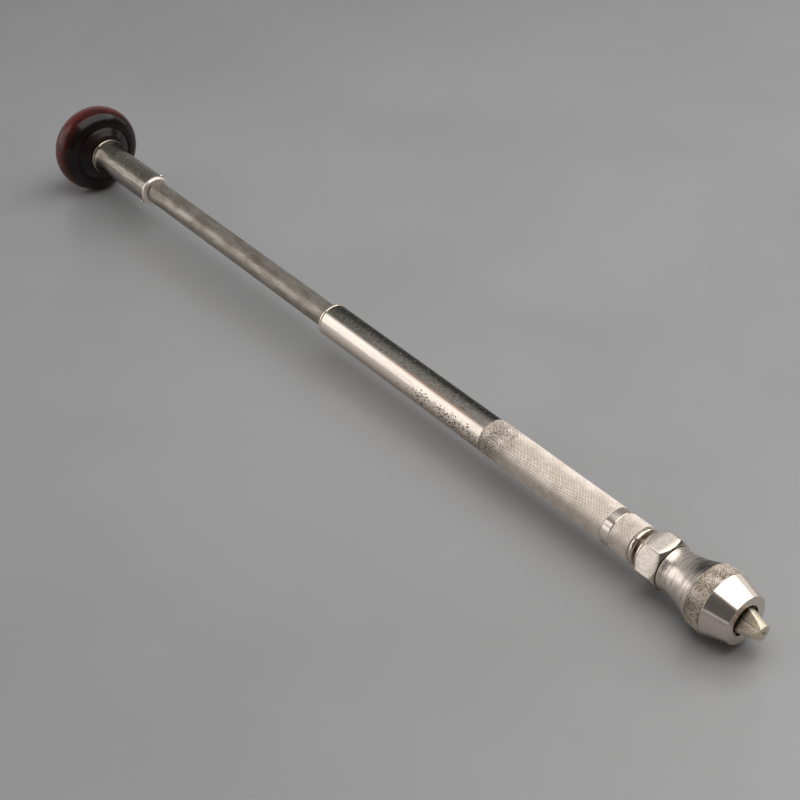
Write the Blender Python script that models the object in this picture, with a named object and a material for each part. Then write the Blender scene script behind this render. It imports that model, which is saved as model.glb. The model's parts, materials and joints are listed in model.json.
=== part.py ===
"""Long push drill: a palm knob on a thin tube that slides into a knurled barrel, where a twisted bar turns
each push into rotation of a two-jaw chuck.

Every length is in millimetres and is scaled to metres where a mesh is made. A station is a distance along
the tool's axis from the chuck's nose face towards the knob, so the tool's own +X, from knob to chuck, runs
against the stations. An angle about the axis is counted from the tool's +Y towards its +Z.
The tool lies on its knob and on the chuck's knurled band, with its axis a little nose down.
"""

import math

import bmesh
import bpy
from mathutils import Matrix, Vector

MM = 0.001
GAP = 0.3  # between pieces that touch or run in each other
PAST = 2.0  # how far a cutter runs past what it cuts
OUTER_SIDES = 36  # facets round the outer pieces
LYING_SIDES = 24  # facets round the two pieces that the tool lies on
INNER_SIDES = 20  # facets round the pieces inside
PIN_SIDES = 12
DOWN = 270.0  # angle that faces the surface the tool lies on

# The stroke and what it drives
STROKE = 180.0
TURN_PITCH = 45.0  # stroke for one turn of the chuck
BAR_WIDTH = 8.0
BAR_THICKNESS = 3.2
BAR_STEPS_PER_TURN = 30

# Chuck shell and jaws
MOUTH_R = 8.0
NOSE_R = 12.65
BAND_FRONT = 12.8
BAND_R = 16.78
BAND_BACK = 22.8
BAND_BACK_R = 16.05
NECK_BACK = 40.5
NECK_R = 11.2
NECK_CURVE = 1.7  # power of the fall from the band to the neck
SHELL_BACK = 44.2
SHELL_POCKET_R = 12.0
SHELL_THREAD_R = 9.0
JAW_TIP = -10.3
JAW_TIP_R = 3.75
JAW_RAMP = 0.28  # rise of the jaws' cone for each millimetre of station
JAW_HALF_WIDTH = 4.2
JAW_OPENING_ANGLE = 47.0
JAW_SPRING_STATION = 20.0
JAW_SPRING_LENGTH = 4.6
BIT_HOLE_R = 1.0

# Chuck body
STUB_FRONT = 11.3
STUB_R = SHELL_THREAD_R - GAP
SLOT_BACK = 28.6
SOCKET_R = 3.4
SOCKET_BACK = 42.0
HEX_FRONT = 44.5
HEX_BACK = 57.4
HEX_ACROSS_FLATS = 24.1
HEX_CORNER_ANGLE = 126.0
WASHER_BACK = 58.8
WASHER_R = 10.5

# Barrel
LOCK_RING_FRONT = 61.3
LOCK_RING_BACK = 64.3
CAP_FRONT = LOCK_RING_BACK + GAP
CAP_BACK = 76.6
CAP_R = 10.1
CAP_SPIGOT_R = 9.0
BAND_RING_FRONT = CAP_BACK + GAP
BAND_RING_BACK = 81.8
BAND_RING_R = 9.95
GRIP_FRONT = BAND_RING_BACK + GAP
GRIP_BACK = 170.5
GRIP_R = 10.15
BARREL_BACK = 307.6
BARREL_R = 9.75
BARREL_BORE_R = 8.0
KEYWAY_R = 8.8
KEYWAY_WIDTH = 3.6
END_CAP_BACK = 309.4
END_CAP_R = 9.95

# Spindle and its bearing
JOURNAL_R = 4.3
SHAFT_FRONT = 46.4
COLLAR_FRONT = 82.4
COLLAR_BACK = 85.4
COLLAR_R = 7.6
SLEEVE_R = 6.0
SLEEVE_BACK = 94.0
BEARING_R = 8.3
BUSH_BACK = 80.3

# Push tube
BAR_TWIST_START = SLEEVE_BACK + 1.0
TUBE_FRONT = BAR_TWIST_START + STROKE
TUBE_BACK = 512.0
TUBE_R = 7.14
TUBE_BORE_R = 5.4
NUT_CHAMBER_R = 6.0
NUT_CHAMBER_BACK = 300.3
PISTON_BACK = 288.0
PISTON_R = BARREL_BORE_R - GAP
PISTON_SEAT_R = 6.7
KEY_WIDTH = 3.0
NUT_R = 5.65

# Head
HEAD_COLLAR_FRONT = 501.8
HEAD_COLLAR_BACK = 512.85
HEAD_R = 9.9
CROSS_PIN_STATION = 508.5
CROSS_PIN_R = 1.25
CROSS_PIN_ANGLE = 43.0
STEM_R = 3.4
FERRULE_FRONT = HEAD_COLLAR_BACK + GAP
COVE_FRONT = 551.0
COVE_BACK = 565.0
FLANGE_BACK = 566.5
FLANGE_R = 12.0
SPIGOT_R = 8.2
SPIGOT_BACK = 582.0
KNOB_FRONT = FLANGE_BACK + GAP
KNOB_DISC_R = 18.4
KNOB_LIP_R = 19.4
KNOB_RIM = 582.5
KNOB_R = 29.04
KNOB_BACK = 601.0

# Where each moving body's joint, and so its empty, sits on the axis
BODY_STATIONS = {
    "grip": 0.0,
    "spindle": 74.0,
    "push": 308.0,
    "head": 535.0,
    "closing_ring": 5.0,
    "shell": 30.0,
    "jaw_a": 0.0,
    "jaw_b": 0.0,
}


def clear_scene():
    for item in list(bpy.data.objects):
        bpy.data.objects.remove(item)


def make_material(name, colour, metallic, roughness):
    look = bpy.data.materials.new(name)
    look.use_nodes = True
    shader = look.node_tree.nodes["Principled BSDF"]
    shader.inputs["Base Color"].default_value = (*colour, 1.0)
    shader.inputs["Metallic"].default_value = metallic
    shader.inputs["Roughness"].default_value = roughness
    return look


def make_empty(name, parent, station=0.0):
    empty = bpy.data.objects.new(name, None)
    empty.empty_display_size = 10 * MM
    empty.location.x = -station * MM
    empty.parent = parent
    bpy.context.collection.objects.link(empty)
    return empty


def turned_mesh(name, outline, sides):
    """Turn a closed outline of (station, radius) points about the X axis, with a facet facing down."""
    shape = bmesh.new()
    corners = [shape.verts.new((-station * MM, 0, -radius * MM)) for station, radius in outline]
    edges = []
    for first, second in zip(corners, corners[1:] + corners[:1]):
        if first.co.z or second.co.z:
            edges.append(shape.edges.new((first, second)))
    bmesh.ops.spin(shape, geom=corners + edges, axis=(1, 0, 0), angle=math.tau, steps=sides, use_merge=True)
    bmesh.ops.remove_doubles(shape, verts=shape.verts, dist=0.001 * MM)
    bmesh.ops.rotate(shape, verts=shape.verts, matrix=Matrix.Rotation(math.pi / sides, 3, "X"))
    return finish_mesh(name, shape)


def finish_mesh(name, shape):
    bmesh.ops.recalc_face_normals(shape, faces=shape.faces)
    mesh = bpy.data.meshes.new(name)
    shape.to_mesh(mesh)
    shape.free()
    mesh.shade_smooth()
    mesh.set_sharp_from_angle(angle=math.radians(30))
    return mesh


def place(name, data, look, body, station=0.0, angle=0.0):
    """Add an object to a body, with its own origin at a station and turned about the axis."""
    item = bpy.data.objects.new(name, data)
    if look:
        data.materials.append(look)
    body_station = BODY_STATIONS[body.name.removesuffix("_body")]
    item.parent = body
    item.location.x = (body_station - station) * MM
    item.rotation_euler.x = math.radians(angle)
    bpy.context.collection.objects.link(item)
    return item


def turned(name, outline, look, body, sides=INNER_SIDES):
    front = min(station for station, _ in outline)
    local = [(station - front, radius) for station, radius in outline]
    return place(name, turned_mesh(name, local, sides), look, body, front)


def ring(name, front, back, inner, outer, look, body, sides=INNER_SIDES):
    outline = [(front, inner), (front, outer), (back, outer), (back, inner)]
    return turned(name, outline, look, body, sides)


def block(name, front, back, low, high, width, body, angle, look=None):
    """A block between two stations, from low to high along the given angle and width across it."""
    shape = bmesh.new()
    bmesh.ops.create_cube(shape, size=1.0)
    bmesh.ops.scale(shape, verts=shape.verts, vec=Vector((back - front, high - low, width)) * MM)
    bmesh.ops.translate(shape, verts=shape.verts, vec=Vector((0, (low + high) / 2, 0)) * MM)
    return place(name, finish_mesh(name, shape), look, body, (front + back) / 2, angle)


def cross_rod(name, station, radius, half_length, dome, body, angle, look=None):
    """A rod across the axis at an angle, with ends that dome by the given height."""
    outline = [(-half_length, 0), (-half_length, 0.6 * radius), (dome - half_length, radius)]
    outline += [(-end, size) for end, size in reversed(outline)]
    mesh = turned_mesh(name, outline, PIN_SIDES)
    mesh.transform(Matrix.Rotation(math.pi / 2, 4, "Z"))
    return place(name, mesh, look, body, station, angle)


def combine(target, operation, tool):
    """Cut, join or intersect an object with a guide that isn't itself a piece."""
    tool.hide_render = True
    tool.display_type = "WIRE"
    boolean = target.modifiers.new(tool.name, "BOOLEAN")
    boolean.operation = operation
    boolean.solver = "EXACT"
    boolean.object = tool


def arc(centre, radii, start, end, steps):
    """Points on an ellipse about (station, radius); 0 degrees points to the knob and 90 outwards."""
    points = []
    for step in range(steps + 1):
        turn = math.radians(start + (end - start) * step / steps)
        points.append((centre[0] + radii[0] * math.cos(turn), centre[1] + radii[1] * math.sin(turn)))
    return points


def bar_angle(station):
    """The twisted bar's angle in degrees: left-handed along the tool's +X, and straight in its socket."""
    return 360.0 * max(0.0, station - BAR_TWIST_START) / TURN_PITCH


def twisted_bar_mesh(name, front, back, grow=0.0):
    """A flat bar between two stations, twisted by bar_angle. Its faces are split so that they stay inside
    the true twisted surface or, on a cutter grown by a clearance, outside it."""
    step = TURN_PITCH / BAR_STEPS_PER_TURN
    count = math.ceil((back - front) / step)
    half_width = BAR_WIDTH / 2 + grow
    half_thickness = BAR_THICKNESS / 2 + grow
    choose = max if grow else min
    shape = bmesh.new()
    loops = []
    for index in range(count + 1):
        station = front + (back - front) * index / count
        turn = Matrix.Rotation(math.radians(bar_angle(station)), 3, "X")
        corners = []
        for side, rise in ((1, 1), (-1, 1), (-1, -1), (1, -1)):
            corner = turn @ Vector((0, side * half_width, rise * half_thickness))
            corner.x = front - station
            corners.append(shape.verts.new(corner * MM))
        loops.append(corners)
    for near, far in zip(loops, loops[1:]):
        for side in range(4):
            face = (near[side - 1], near[side], far[side], far[side - 1])
            first = choose((0, 1), key=lambda corner: (face[corner].co + face[corner + 2].co).yz.length)
            turned_face = face[first:] + face[:first]
            shape.faces.new((turned_face[0], turned_face[1], turned_face[2]))
            shape.faces.new((turned_face[0], turned_face[2], turned_face[3]))
    shape.faces.new(loops[0])
    shape.faces.new(loops[-1])
    return finish_mesh(name, shape)


def coil(name, length, radius, wire_radius, turns, look, body, station, across_angle=None):
    """A coil spring along the axis, or across it at an angle."""
    points_per_turn = 12
    count = turns * points_per_turn
    curve = bpy.data.curves.new(name, "CURVE")
    curve.dimensions = "3D"
    curve.bevel_depth = wire_radius * MM
    curve.bevel_resolution = 1
    curve.use_fill_caps = True
    spline = curve.splines.new("POLY")
    spline.points.add(count)
    for index, point in enumerate(spline.points):
        turn = math.tau * index / points_per_turn
        along = (index / count - 0.5) * (length - 2 * wire_radius)
        place_on_coil = Vector((along, radius * math.cos(turn), radius * math.sin(turn)))
        if across_angle is not None:
            place_on_coil.rotate(Matrix.Rotation(math.pi / 2, 3, "Z"))
        point.co = (*(place_on_coil * MM), 1.0)
    return place(name, curve, look, body, station, across_angle or 0.0)


def build_barrel(grip, nickel, bronze):
    """The tube, grip and rings that the second hand holds, from the rear end to the front."""
    inside_bore = 0.9 * BARREL_BORE_R
    keyway_faces = (inside_bore, KEYWAY_R, KEYWAY_WIDTH)
    spigot_front = 158.6
    spigot_r = 9.2
    socket_r = spigot_r + GAP
    barrel_front = GRIP_BACK + GAP
    barrel = turned(
        "barrel_tube",
        [
            (spigot_front, BARREL_BORE_R),
            (spigot_front, spigot_r),
            (barrel_front, spigot_r),
            (barrel_front, BARREL_R),
            (BARREL_BACK, BARREL_R),
            (BARREL_BACK, BARREL_BORE_R),
        ],
        nickel,
        grip,
        OUTER_SIDES,
    )
    keyway = block("barrel_keyway", spigot_front - PAST, BARREL_BACK + PAST, *keyway_faces, grip, DOWN)
    combine(barrel, "DIFFERENCE", keyway)

    bearing_socket_back = 94.6
    sleeve = turned(
        "knurled_grip",
        [
            (GRIP_FRONT, CAP_SPIGOT_R + GAP),
            (GRIP_FRONT, GRIP_R),
            (GRIP_BACK, GRIP_R),
            (GRIP_BACK, socket_r),
            (spigot_front - GAP, socket_r),
            (spigot_front - GAP, BARREL_BORE_R),
            (bearing_socket_back, BARREL_BORE_R),
            (bearing_socket_back, CAP_SPIGOT_R + GAP),
        ],
        nickel,
        grip,
        OUTER_SIDES,
    )
    keyway_span = (bearing_socket_back - PAST, spigot_front + PAST)
    grip_keyway = block("grip_keyway", *keyway_span, *keyway_faces, grip, DOWN)
    combine(sleeve, "DIFFERENCE", grip_keyway)

    neck_front = 296.0
    groove = 0.35
    turned(
        "barrel_end_cap",
        [
            (neck_front, TUBE_R + GAP),
            (neck_front, BARREL_BORE_R - GAP),
            (BARREL_BACK + GAP, BARREL_BORE_R - GAP),
            (BARREL_BACK + GAP, END_CAP_R - groove),
            (BARREL_BACK + 2 * GAP, END_CAP_R),
            (END_CAP_BACK - groove, END_CAP_R),
            (END_CAP_BACK, END_CAP_R - groove),
            (END_CAP_BACK, TUBE_R + GAP),
        ],
        nickel,
        grip,
        OUTER_SIDES,
    )
    band_inner = CAP_SPIGOT_R + GAP
    ring("polished_band", BAND_RING_FRONT, BAND_RING_BACK, band_inner, BAND_RING_R, nickel, grip, OUTER_SIDES)

    ring_spigot_back = 68.2
    ring_spigot_r = 7.7
    cap_spigot_back = SLEEVE_BACK
    bush_r = 6.4
    turned(
        "bearing_cap",
        [
            (CAP_FRONT, ring_spigot_r + GAP),
            (CAP_FRONT, CAP_R),
            (CAP_BACK, CAP_R),
            (CAP_BACK, CAP_SPIGOT_R),
            (cap_spigot_back, CAP_SPIGOT_R),
            (cap_spigot_back, BEARING_R),
            (BUSH_BACK, BEARING_R),
            (BUSH_BACK, bush_r + GAP),
            (ring_spigot_back + GAP, bush_r + GAP),
            (ring_spigot_back + GAP, ring_spigot_r + GAP),
        ],
        nickel,
        grip,
        OUTER_SIDES,
    )
    lock_ring_r = 9.9
    edge_length = 1.1
    edge_height = 0.8
    edge_centre = (LOCK_RING_FRONT + edge_length, lock_ring_r - edge_height)
    edge = arc(edge_centre, (edge_length, edge_height), 180, 90, 2)
    turned(
        "cap_lock_ring",
        [
            (LOCK_RING_FRONT, JOURNAL_R + GAP),
            *edge,
            (LOCK_RING_BACK, lock_ring_r),
            (LOCK_RING_BACK, ring_spigot_r),
            (ring_spigot_back, ring_spigot_r),
            (ring_spigot_back, JOURNAL_R + GAP),
        ],
        nickel,
        grip,
        OUTER_SIDES,
    )
    journal_bore = JOURNAL_R + GAP
    sleeve_bore = SLEEVE_R + GAP
    washer_r = BEARING_R - GAP
    rear_washer_back = 87.2
    ring("front_bush", ring_spigot_back + 2 * GAP, BUSH_BACK, journal_bore, bush_r, bronze, grip)
    ring("thrust_washer_front", BUSH_BACK + GAP, COLLAR_FRONT - GAP, journal_bore, washer_r, bronze, grip)
    ring("thrust_washer_rear", COLLAR_BACK + GAP, rear_washer_back, sleeve_bore, washer_r, bronze, grip)
    ring("thrust_plug", rear_washer_back + GAP, cap_spigot_back, sleeve_bore, washer_r, nickel, grip)


def build_spindle(spindle, nickel, steel):
    """The chuck body and everything fixed to it, which turn as one."""
    inside_hexagon = (HEX_FRONT + HEX_BACK) / 2
    body = turned(
        "chuck_body",
        [
            (STUB_FRONT, 0),
            (STUB_FRONT, STUB_R - GAP),
            (STUB_FRONT + GAP, STUB_R),
            (inside_hexagon, STUB_R),
            (inside_hexagon, WASHER_R),
            (WASHER_BACK, WASHER_R),
            (WASHER_BACK, 0),
        ],
        nickel,
        spindle,
        OUTER_SIDES,
    )
    combine(body, "UNION", build_hexagon(spindle))
    bore = ring("shaft_bore", SHAFT_FRONT - GAP, WASHER_BACK + PAST, 0, JOURNAL_R + GAP, None, spindle)
    combine(body, "DIFFERENCE", bore)
    socket = ring("bit_socket", SLOT_BACK - PAST, SOCKET_BACK, 0, SOCKET_R, None, spindle)
    combine(body, "DIFFERENCE", socket)
    slot_width = 2 * (JAW_HALF_WIDTH + GAP)
    slot_reach = STUB_R + PAST
    slot_faces = (-slot_reach, slot_reach, slot_width)
    slot = block("jaw_slot", STUB_FRONT - PAST, SLOT_BACK, *slot_faces, spindle, JAW_OPENING_ANGLE)
    combine(body, "DIFFERENCE", slot)

    shaft = turned(
        "spindle_shaft",
        [
            (SHAFT_FRONT, 0),
            (SHAFT_FRONT, JOURNAL_R),
            (COLLAR_FRONT, JOURNAL_R),
            (COLLAR_FRONT, COLLAR_R),
            (COLLAR_BACK, COLLAR_R),
            (COLLAR_BACK, SLEEVE_R),
            (SLEEVE_BACK, SLEEVE_R),
            (SLEEVE_BACK, 0),
        ],
        steel,
        spindle,
    )
    socket_front = COLLAR_FRONT + 1.0
    half_width = BAR_WIDTH / 2 + GAP
    bar_socket = block(
        "bar_socket",
        socket_front,
        SLEEVE_BACK + PAST,
        -half_width,
        half_width,
        BAR_THICKNESS + 2 * GAP,
        spindle,
        0.0,
    )
    combine(shaft, "DIFFERENCE", bar_socket)

    bar_front = socket_front + GAP
    reach_in_tube = 20.0
    bar_back = TUBE_FRONT + reach_in_tube
    bar_mesh = twisted_bar_mesh("spiral_bar", bar_front, bar_back)
    bar = place("spiral_bar", bar_mesh, steel, spindle, bar_front)
    pin_station = 90.5
    pin_r = 0.9
    pin_dome = 0.2
    hole = cross_rod("bar_pin_hole", pin_station, pin_r + GAP, SLEEVE_R + PAST, pin_dome, spindle, 90.0)
    combine(shaft, "DIFFERENCE", hole)
    combine(bar, "DIFFERENCE", hole)
    cross_rod("bar_pin", pin_station, pin_r, SLEEVE_R - pin_dome, pin_dome, spindle, 90.0, steel)
    spring = {"length": JAW_SPRING_LENGTH, "radius": 1.2, "wire_radius": 0.3, "turns": 4}
    spring |= {"station": JAW_SPRING_STATION, "across_angle": JAW_OPENING_ANGLE}
    coil("jaw_spring", **spring, look=steel, body=spindle)


def build_hexagon(spindle):
    """The hexagon as a guide to join: a prism whose corners are turned back at both ends."""
    corner_r = HEX_ACROSS_FLATS / math.sqrt(3)
    prism = ring("hex_prism", HEX_FRONT, HEX_BACK, 0, corner_r, None, spindle, 6)
    half_facet = 30.0  # turned_mesh sets a facet down, and this is the angle from there to a corner
    prism.rotation_euler.x = math.radians(HEX_CORNER_ANGLE - DOWN + half_facet)
    before_front = HEX_FRONT - 1.0
    after_back = HEX_BACK + 1.0
    clear_r = corner_r + 0.4
    chamfer = turned(
        "hex_chamfer",
        [
            (before_front, 0),
            (before_front, WASHER_R + GAP),
            (before_front + 3.0, clear_r),
            (after_back - 4.2, clear_r),
            (after_back, WASHER_R),
            (after_back, 0),
        ],
        None,
        spindle,
        OUTER_SIDES,
    )
    combine(prism, "INTERSECT", chamfer)
    return prism


def shell_outline():
    """The shell's section, from the mouth's edge over the outside to the rear and back through the bore."""
    neck = []
    neck_steps = 9
    for step in range(1, neck_steps + 1):
        reach = step / neck_steps
        fall = (1 - reach) ** NECK_CURVE
        station = BAND_BACK + (NECK_BACK - BAND_BACK) * reach
        neck.append((station, NECK_R + (BAND_BACK_R - NECK_R) * fall))
    lip_back = 1.6
    thread_front = 22.0
    pocket_taper = 6.0
    return [
        (0, MOUTH_R),
        (0, NOSE_R),
        (BAND_FRONT, BAND_R),
        (BAND_BACK, BAND_BACK_R),
        *neck,
        (SHELL_BACK, NECK_R + 0.2),
        (SHELL_BACK, SHELL_THREAD_R),
        (thread_front, SHELL_THREAD_R),
        (thread_front - pocket_taper, SHELL_POCKET_R),
        (lip_back, SHELL_POCKET_R),
        (lip_back, MOUTH_R),
    ]


def jaw_r(station):
    return JAW_TIP_R + (station - JAW_TIP) * JAW_RAMP


def build_jaw(name, body, steel, angle):
    """Half of a cone with flat sides, a groove for the bit and a pocket for the spring."""
    shoulder = 7.6
    tail_r = 6.6
    tail_back = 28.0
    jaw = turned(
        name,
        [
            (JAW_TIP, 0),
            (JAW_TIP, JAW_TIP_R),
            (shoulder, jaw_r(shoulder)),
            (STUB_FRONT - GAP, jaw_r(shoulder)),
            (STUB_FRONT + 2, tail_r),
            (tail_back, tail_r),
            (tail_back, 0),
        ],
        steel,
        body,
        OUTER_SIDES,
    )
    half_gap = GAP / 2
    reach = SHELL_POCKET_R
    side_faces = (half_gap, reach, 2 * JAW_HALF_WIDTH)
    sides = block(f"{name}_sides", JAW_TIP - PAST, tail_back + PAST, *side_faces, body, angle)
    combine(jaw, "INTERSECT", sides)
    groove_back = 14.0
    groove = ring(f"{name}_groove", JAW_TIP - PAST, groove_back, 0, BIT_HOLE_R, None, body, PIN_SIDES)
    combine(jaw, "DIFFERENCE", groove)
    pocket_r = 1.9
    pocket_depth = JAW_SPRING_LENGTH / 2 + 1.5 * GAP
    pocket = cross_rod(f"{name}_pocket", JAW_SPRING_STATION, pocket_r, pocket_depth, 0.1, body, angle)
    combine(jaw, "DIFFERENCE", pocket)


def build_chuck(ring_body, shell_body, nickel, steel):
    turned("chuck_shell", shell_outline(), nickel, shell_body, LYING_SIDES)
    ring_front = 1.9
    ring_back = 7.9
    ring_r = SHELL_POCKET_R - GAP
    turned(
        "jaw_closing_ring",
        [
            (ring_front, jaw_r(ring_front) + GAP),
            (ring_front, ring_r),
            (ring_back, ring_r),
            (ring_back, jaw_r(ring_back) + GAP),
        ],
        steel,
        ring_body,
        OUTER_SIDES,
    )


def build_push_tube(push, steel, bronze):
    """The thin tube and the driving parts in its inner end."""
    tube = turned(
        "push_tube",
        [
            (TUBE_FRONT, NUT_CHAMBER_R),
            (TUBE_FRONT, PISTON_SEAT_R),
            (PISTON_BACK + GAP, PISTON_SEAT_R),
            (PISTON_BACK + GAP, TUBE_R),
            (TUBE_BACK, TUBE_R),
            (TUBE_BACK, TUBE_BORE_R),
            (NUT_CHAMBER_BACK, TUBE_BORE_R),
            (NUT_CHAMBER_BACK, NUT_CHAMBER_R),
        ],
        steel,
        push,
        OUTER_SIDES,
    )
    bush = ring("piston_bush", TUBE_FRONT, PISTON_BACK, PISTON_SEAT_R + GAP, PISTON_R, bronze, push)
    slot_faces = (PISTON_SEAT_R, PISTON_R + PAST, KEYWAY_WIDTH)
    slot_back = PISTON_BACK - 1.0
    key_slot = block("bush_key_slot", TUBE_FRONT - PAST, slot_back, *slot_faces, push, DOWN)
    combine(bush, "DIFFERENCE", key_slot)
    key_faces = (PISTON_SEAT_R + GAP, KEYWAY_R - GAP, KEY_WIDTH)
    block("guide_key", TUBE_FRONT, slot_back - GAP, *key_faces, push, DOWN, steel)

    ring_bore = 4.9
    nut_front = TUBE_FRONT + 2.0
    nut_back = nut_front + 8.0
    ring_back = nut_back + 5.0
    ring("nut_retainer", TUBE_FRONT + GAP, nut_front - GAP, ring_bore, NUT_R, steel, push)
    nut = ring("drive_nut", nut_front, nut_back, 0, NUT_R, bronze, push)
    tooth_height = 1.5
    tooth_width = 2.4
    tooth_reach = 5.3
    tooth_faces = (-tooth_reach, tooth_reach, tooth_width)
    teeth = block("nut_teeth", nut_back - 1.0, nut_back + tooth_height, *tooth_faces, push, 90.0)
    combine(nut, "UNION", teeth)
    slot_front = nut_front - 1.0
    slot_mesh = twisted_bar_mesh("nut_slot", slot_front, nut_back + tooth_height + 1.0, GAP)
    combine(nut, "DIFFERENCE", place("nut_slot", slot_mesh, None, push, slot_front))
    clutch = ring("clutch_ring", nut_back + GAP, ring_back, ring_bore, NUT_R, steel, push)
    notch_faces = (-NUT_R - PAST, NUT_R + PAST, tooth_width + 2 * GAP)
    notch = block("clutch_notch", nut_back - PAST, nut_back + tooth_height + GAP, *notch_faces, push, 90.0)
    combine(clutch, "DIFFERENCE", notch)
    spring_room = (ring_back + GAP, NUT_CHAMBER_BACK - GAP)
    spring_middle = sum(spring_room) / 2
    spring = {"length": spring_room[1] - spring_room[0], "radius": 5.3, "wire_radius": 0.3, "turns": 4}
    coil("clutch_spring", **spring, look=steel, body=push, station=spring_middle)
    return tube


def build_head_collar(push, tube, nickel, steel):
    """The pinned collar and the stem in the push tube's outer end."""
    round_r = 2.8
    bore = TUBE_R + GAP
    rounding = arc((HEAD_COLLAR_FRONT + round_r, HEAD_R - round_r), (round_r, round_r), 180, 90, 5)
    collar = turned(
        "head_collar",
        [
            (HEAD_COLLAR_FRONT + 0.1, bore),
            *rounding[1:],
            (HEAD_COLLAR_BACK, HEAD_R),
            (HEAD_COLLAR_BACK, bore),
        ],
        nickel,
        push,
        OUTER_SIDES,
    )
    stem_front = 492.0
    plug_back = HEAD_COLLAR_BACK - GAP
    stem = turned(
        "head_stem",
        [
            (stem_front, 0),
            (stem_front, TUBE_BORE_R - GAP),
            (plug_back, TUBE_BORE_R - GAP),
            (plug_back, STEM_R),
            (FLANGE_BACK, STEM_R),
            (FLANGE_BACK, 0),
        ],
        steel,
        push,
    )
    hole_r = CROSS_PIN_R + GAP
    hole = cross_rod("cross_pin_hole", CROSS_PIN_STATION, hole_r, HEAD_R + PAST, 0.1, push, CROSS_PIN_ANGLE)
    for pinned in (collar, tube, stem):
        combine(pinned, "DIFFERENCE", hole)
    pin_reach = HEAD_R + 1.0
    pin_dome = 0.7
    cross_rod("cross_pin", CROSS_PIN_STATION, CROSS_PIN_R, pin_reach, pin_dome, push, CROSS_PIN_ANGLE, steel)
    nut_front = 559.4
    nut_back = 564.4
    nut_corner_r = 5.2
    nut = ring("stem_nut", nut_front, nut_back, 0, nut_corner_r, steel, push, 6)
    nut_bore = ring("stem_nut_bore", nut_front - PAST, nut_back + PAST, 0, STEM_R + GAP, None, push)
    combine(nut, "DIFFERENCE", nut_bore)


def knob_outline():
    """The knob's section: a turned disc behind the flange, a lip, a full rim and a domed back."""
    bore = SPIGOT_R + GAP
    disc_back = KNOB_FRONT + 4.2
    lip = disc_back - 0.8
    rim = arc((KNOB_RIM, KNOB_LIP_R), (KNOB_RIM - lip, KNOB_R - KNOB_LIP_R), 180, 90, 6)
    dome = arc((KNOB_RIM, 0), (KNOB_BACK - KNOB_RIM, KNOB_R), 90, 0, 9)
    dome[-1] = (KNOB_BACK, 0)
    bore_back = SPIGOT_BACK + 2.0
    return [
        (bore_back, 0),
        (bore_back, bore),
        (KNOB_FRONT, bore),
        (KNOB_FRONT, FLANGE_R + 0.6),
        (disc_back, KNOB_DISC_R),
        *rim,
        *dome[1:],
    ]


def build_head(head, nickel, bronze, rosewood):
    """The ferrule and the knob, which turn freely on the stem."""
    bush_back = 556.8
    seat_back = bush_back + GAP
    counterbore_r = 6.6
    bush_r = 4.9
    cove = arc((COVE_FRONT, FLANGE_R - 0.3), (COVE_BACK - COVE_FRONT, FLANGE_R - HEAD_R - 0.3), 270, 350, 5)
    turned(
        "ferrule",
        [
            (FERRULE_FRONT, bush_r + GAP),
            (FERRULE_FRONT, HEAD_R),
            *cove,
            (COVE_BACK, FLANGE_R),
            (FLANGE_BACK, FLANGE_R),
            (FLANGE_BACK, SPIGOT_R),
            (SPIGOT_BACK, SPIGOT_R),
            (SPIGOT_BACK, counterbore_r),
            (seat_back, counterbore_r),
            (seat_back, bush_r + GAP),
        ],
        nickel,
        head,
        OUTER_SIDES,
    )
    ring("swivel_bush", FERRULE_FRONT + 1, bush_back, STEM_R + GAP, bush_r, bronze, head)
    washer_back = 559.0
    ring("head_washer", seat_back + GAP, washer_back, STEM_R + GAP, counterbore_r - GAP, bronze, head)
    turned("knob", knob_outline(), rosewood, head, LYING_SIDES)


def rest_on_surface(tool):
    """Lay the tool on its knob and chuck band, with the origin at the bottom centre of its box."""
    facet = math.cos(math.pi / LYING_SIDES)
    drop = (KNOB_R - BAND_R) * facet
    tool.rotation_euler.y = math.atan2(drop, KNOB_RIM - BAND_FRONT)
    graph = bpy.context.evaluated_depsgraph_get()
    corners = []
    for item in bpy.data.objects:
        if item.type in {"MESH", "CURVE"} and not item.hide_render:
            solid = item.evaluated_get(graph)
            mesh = solid.to_mesh()
            corners += [solid.matrix_world @ vertex.co for vertex in mesh.vertices]
            solid.to_mesh_clear()
    for axis in range(3):
        low = min(corner[axis] for corner in corners)
        high = max(corner[axis] for corner in corners)
        tool.location[axis] = -low if axis == 2 else -(low + high) / 2


def main():
    clear_scene()
    nickel = make_material("nickel_plate", (0.66, 0.62, 0.57), 1.0, 0.22)
    steel = make_material("bare_steel", (0.36, 0.34, 0.31), 1.0, 0.4)
    bronze = make_material("bearing_bronze", (0.52, 0.36, 0.18), 1.0, 0.35)
    rosewood = make_material("rosewood", (0.09, 0.018, 0.012), 0.0, 0.25)

    tool = make_empty("tool_axis", None)
    bodies = {}
    for name, station in BODY_STATIONS.items():
        bodies[name] = make_empty(f"{name}_body", tool, station)

    build_barrel(bodies["grip"], nickel, bronze)
    build_spindle(bodies["spindle"], nickel, steel)
    build_chuck(bodies["closing_ring"], bodies["shell"], nickel, steel)
    build_jaw("jaw_a", bodies["jaw_a"], steel, JAW_OPENING_ANGLE)
    build_jaw("jaw_b", bodies["jaw_b"], steel, JAW_OPENING_ANGLE + 180.0)
    tube = build_push_tube(bodies["push"], steel, bronze)
    build_head_collar(bodies["push"], tube, nickel, steel)
    build_head(bodies["head"], nickel, bronze, rosewood)
    rest_on_surface(tool)


main()
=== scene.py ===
"""The looks of a long push drill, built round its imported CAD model.

Every piece is built in the tool's own frame: the origin is on the tool's axis in the plane of the chuck's
nose face, local +X runs from the knob to the chuck, and a "station" is the distance in millimetres from
that plane towards the knob. An angle about the axis is counted from local +Y towards local +Z.
"""

import json
import math
import random

import bmesh
import bpy
import numpy as np
from mathutils import Matrix, Vector, noise


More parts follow.
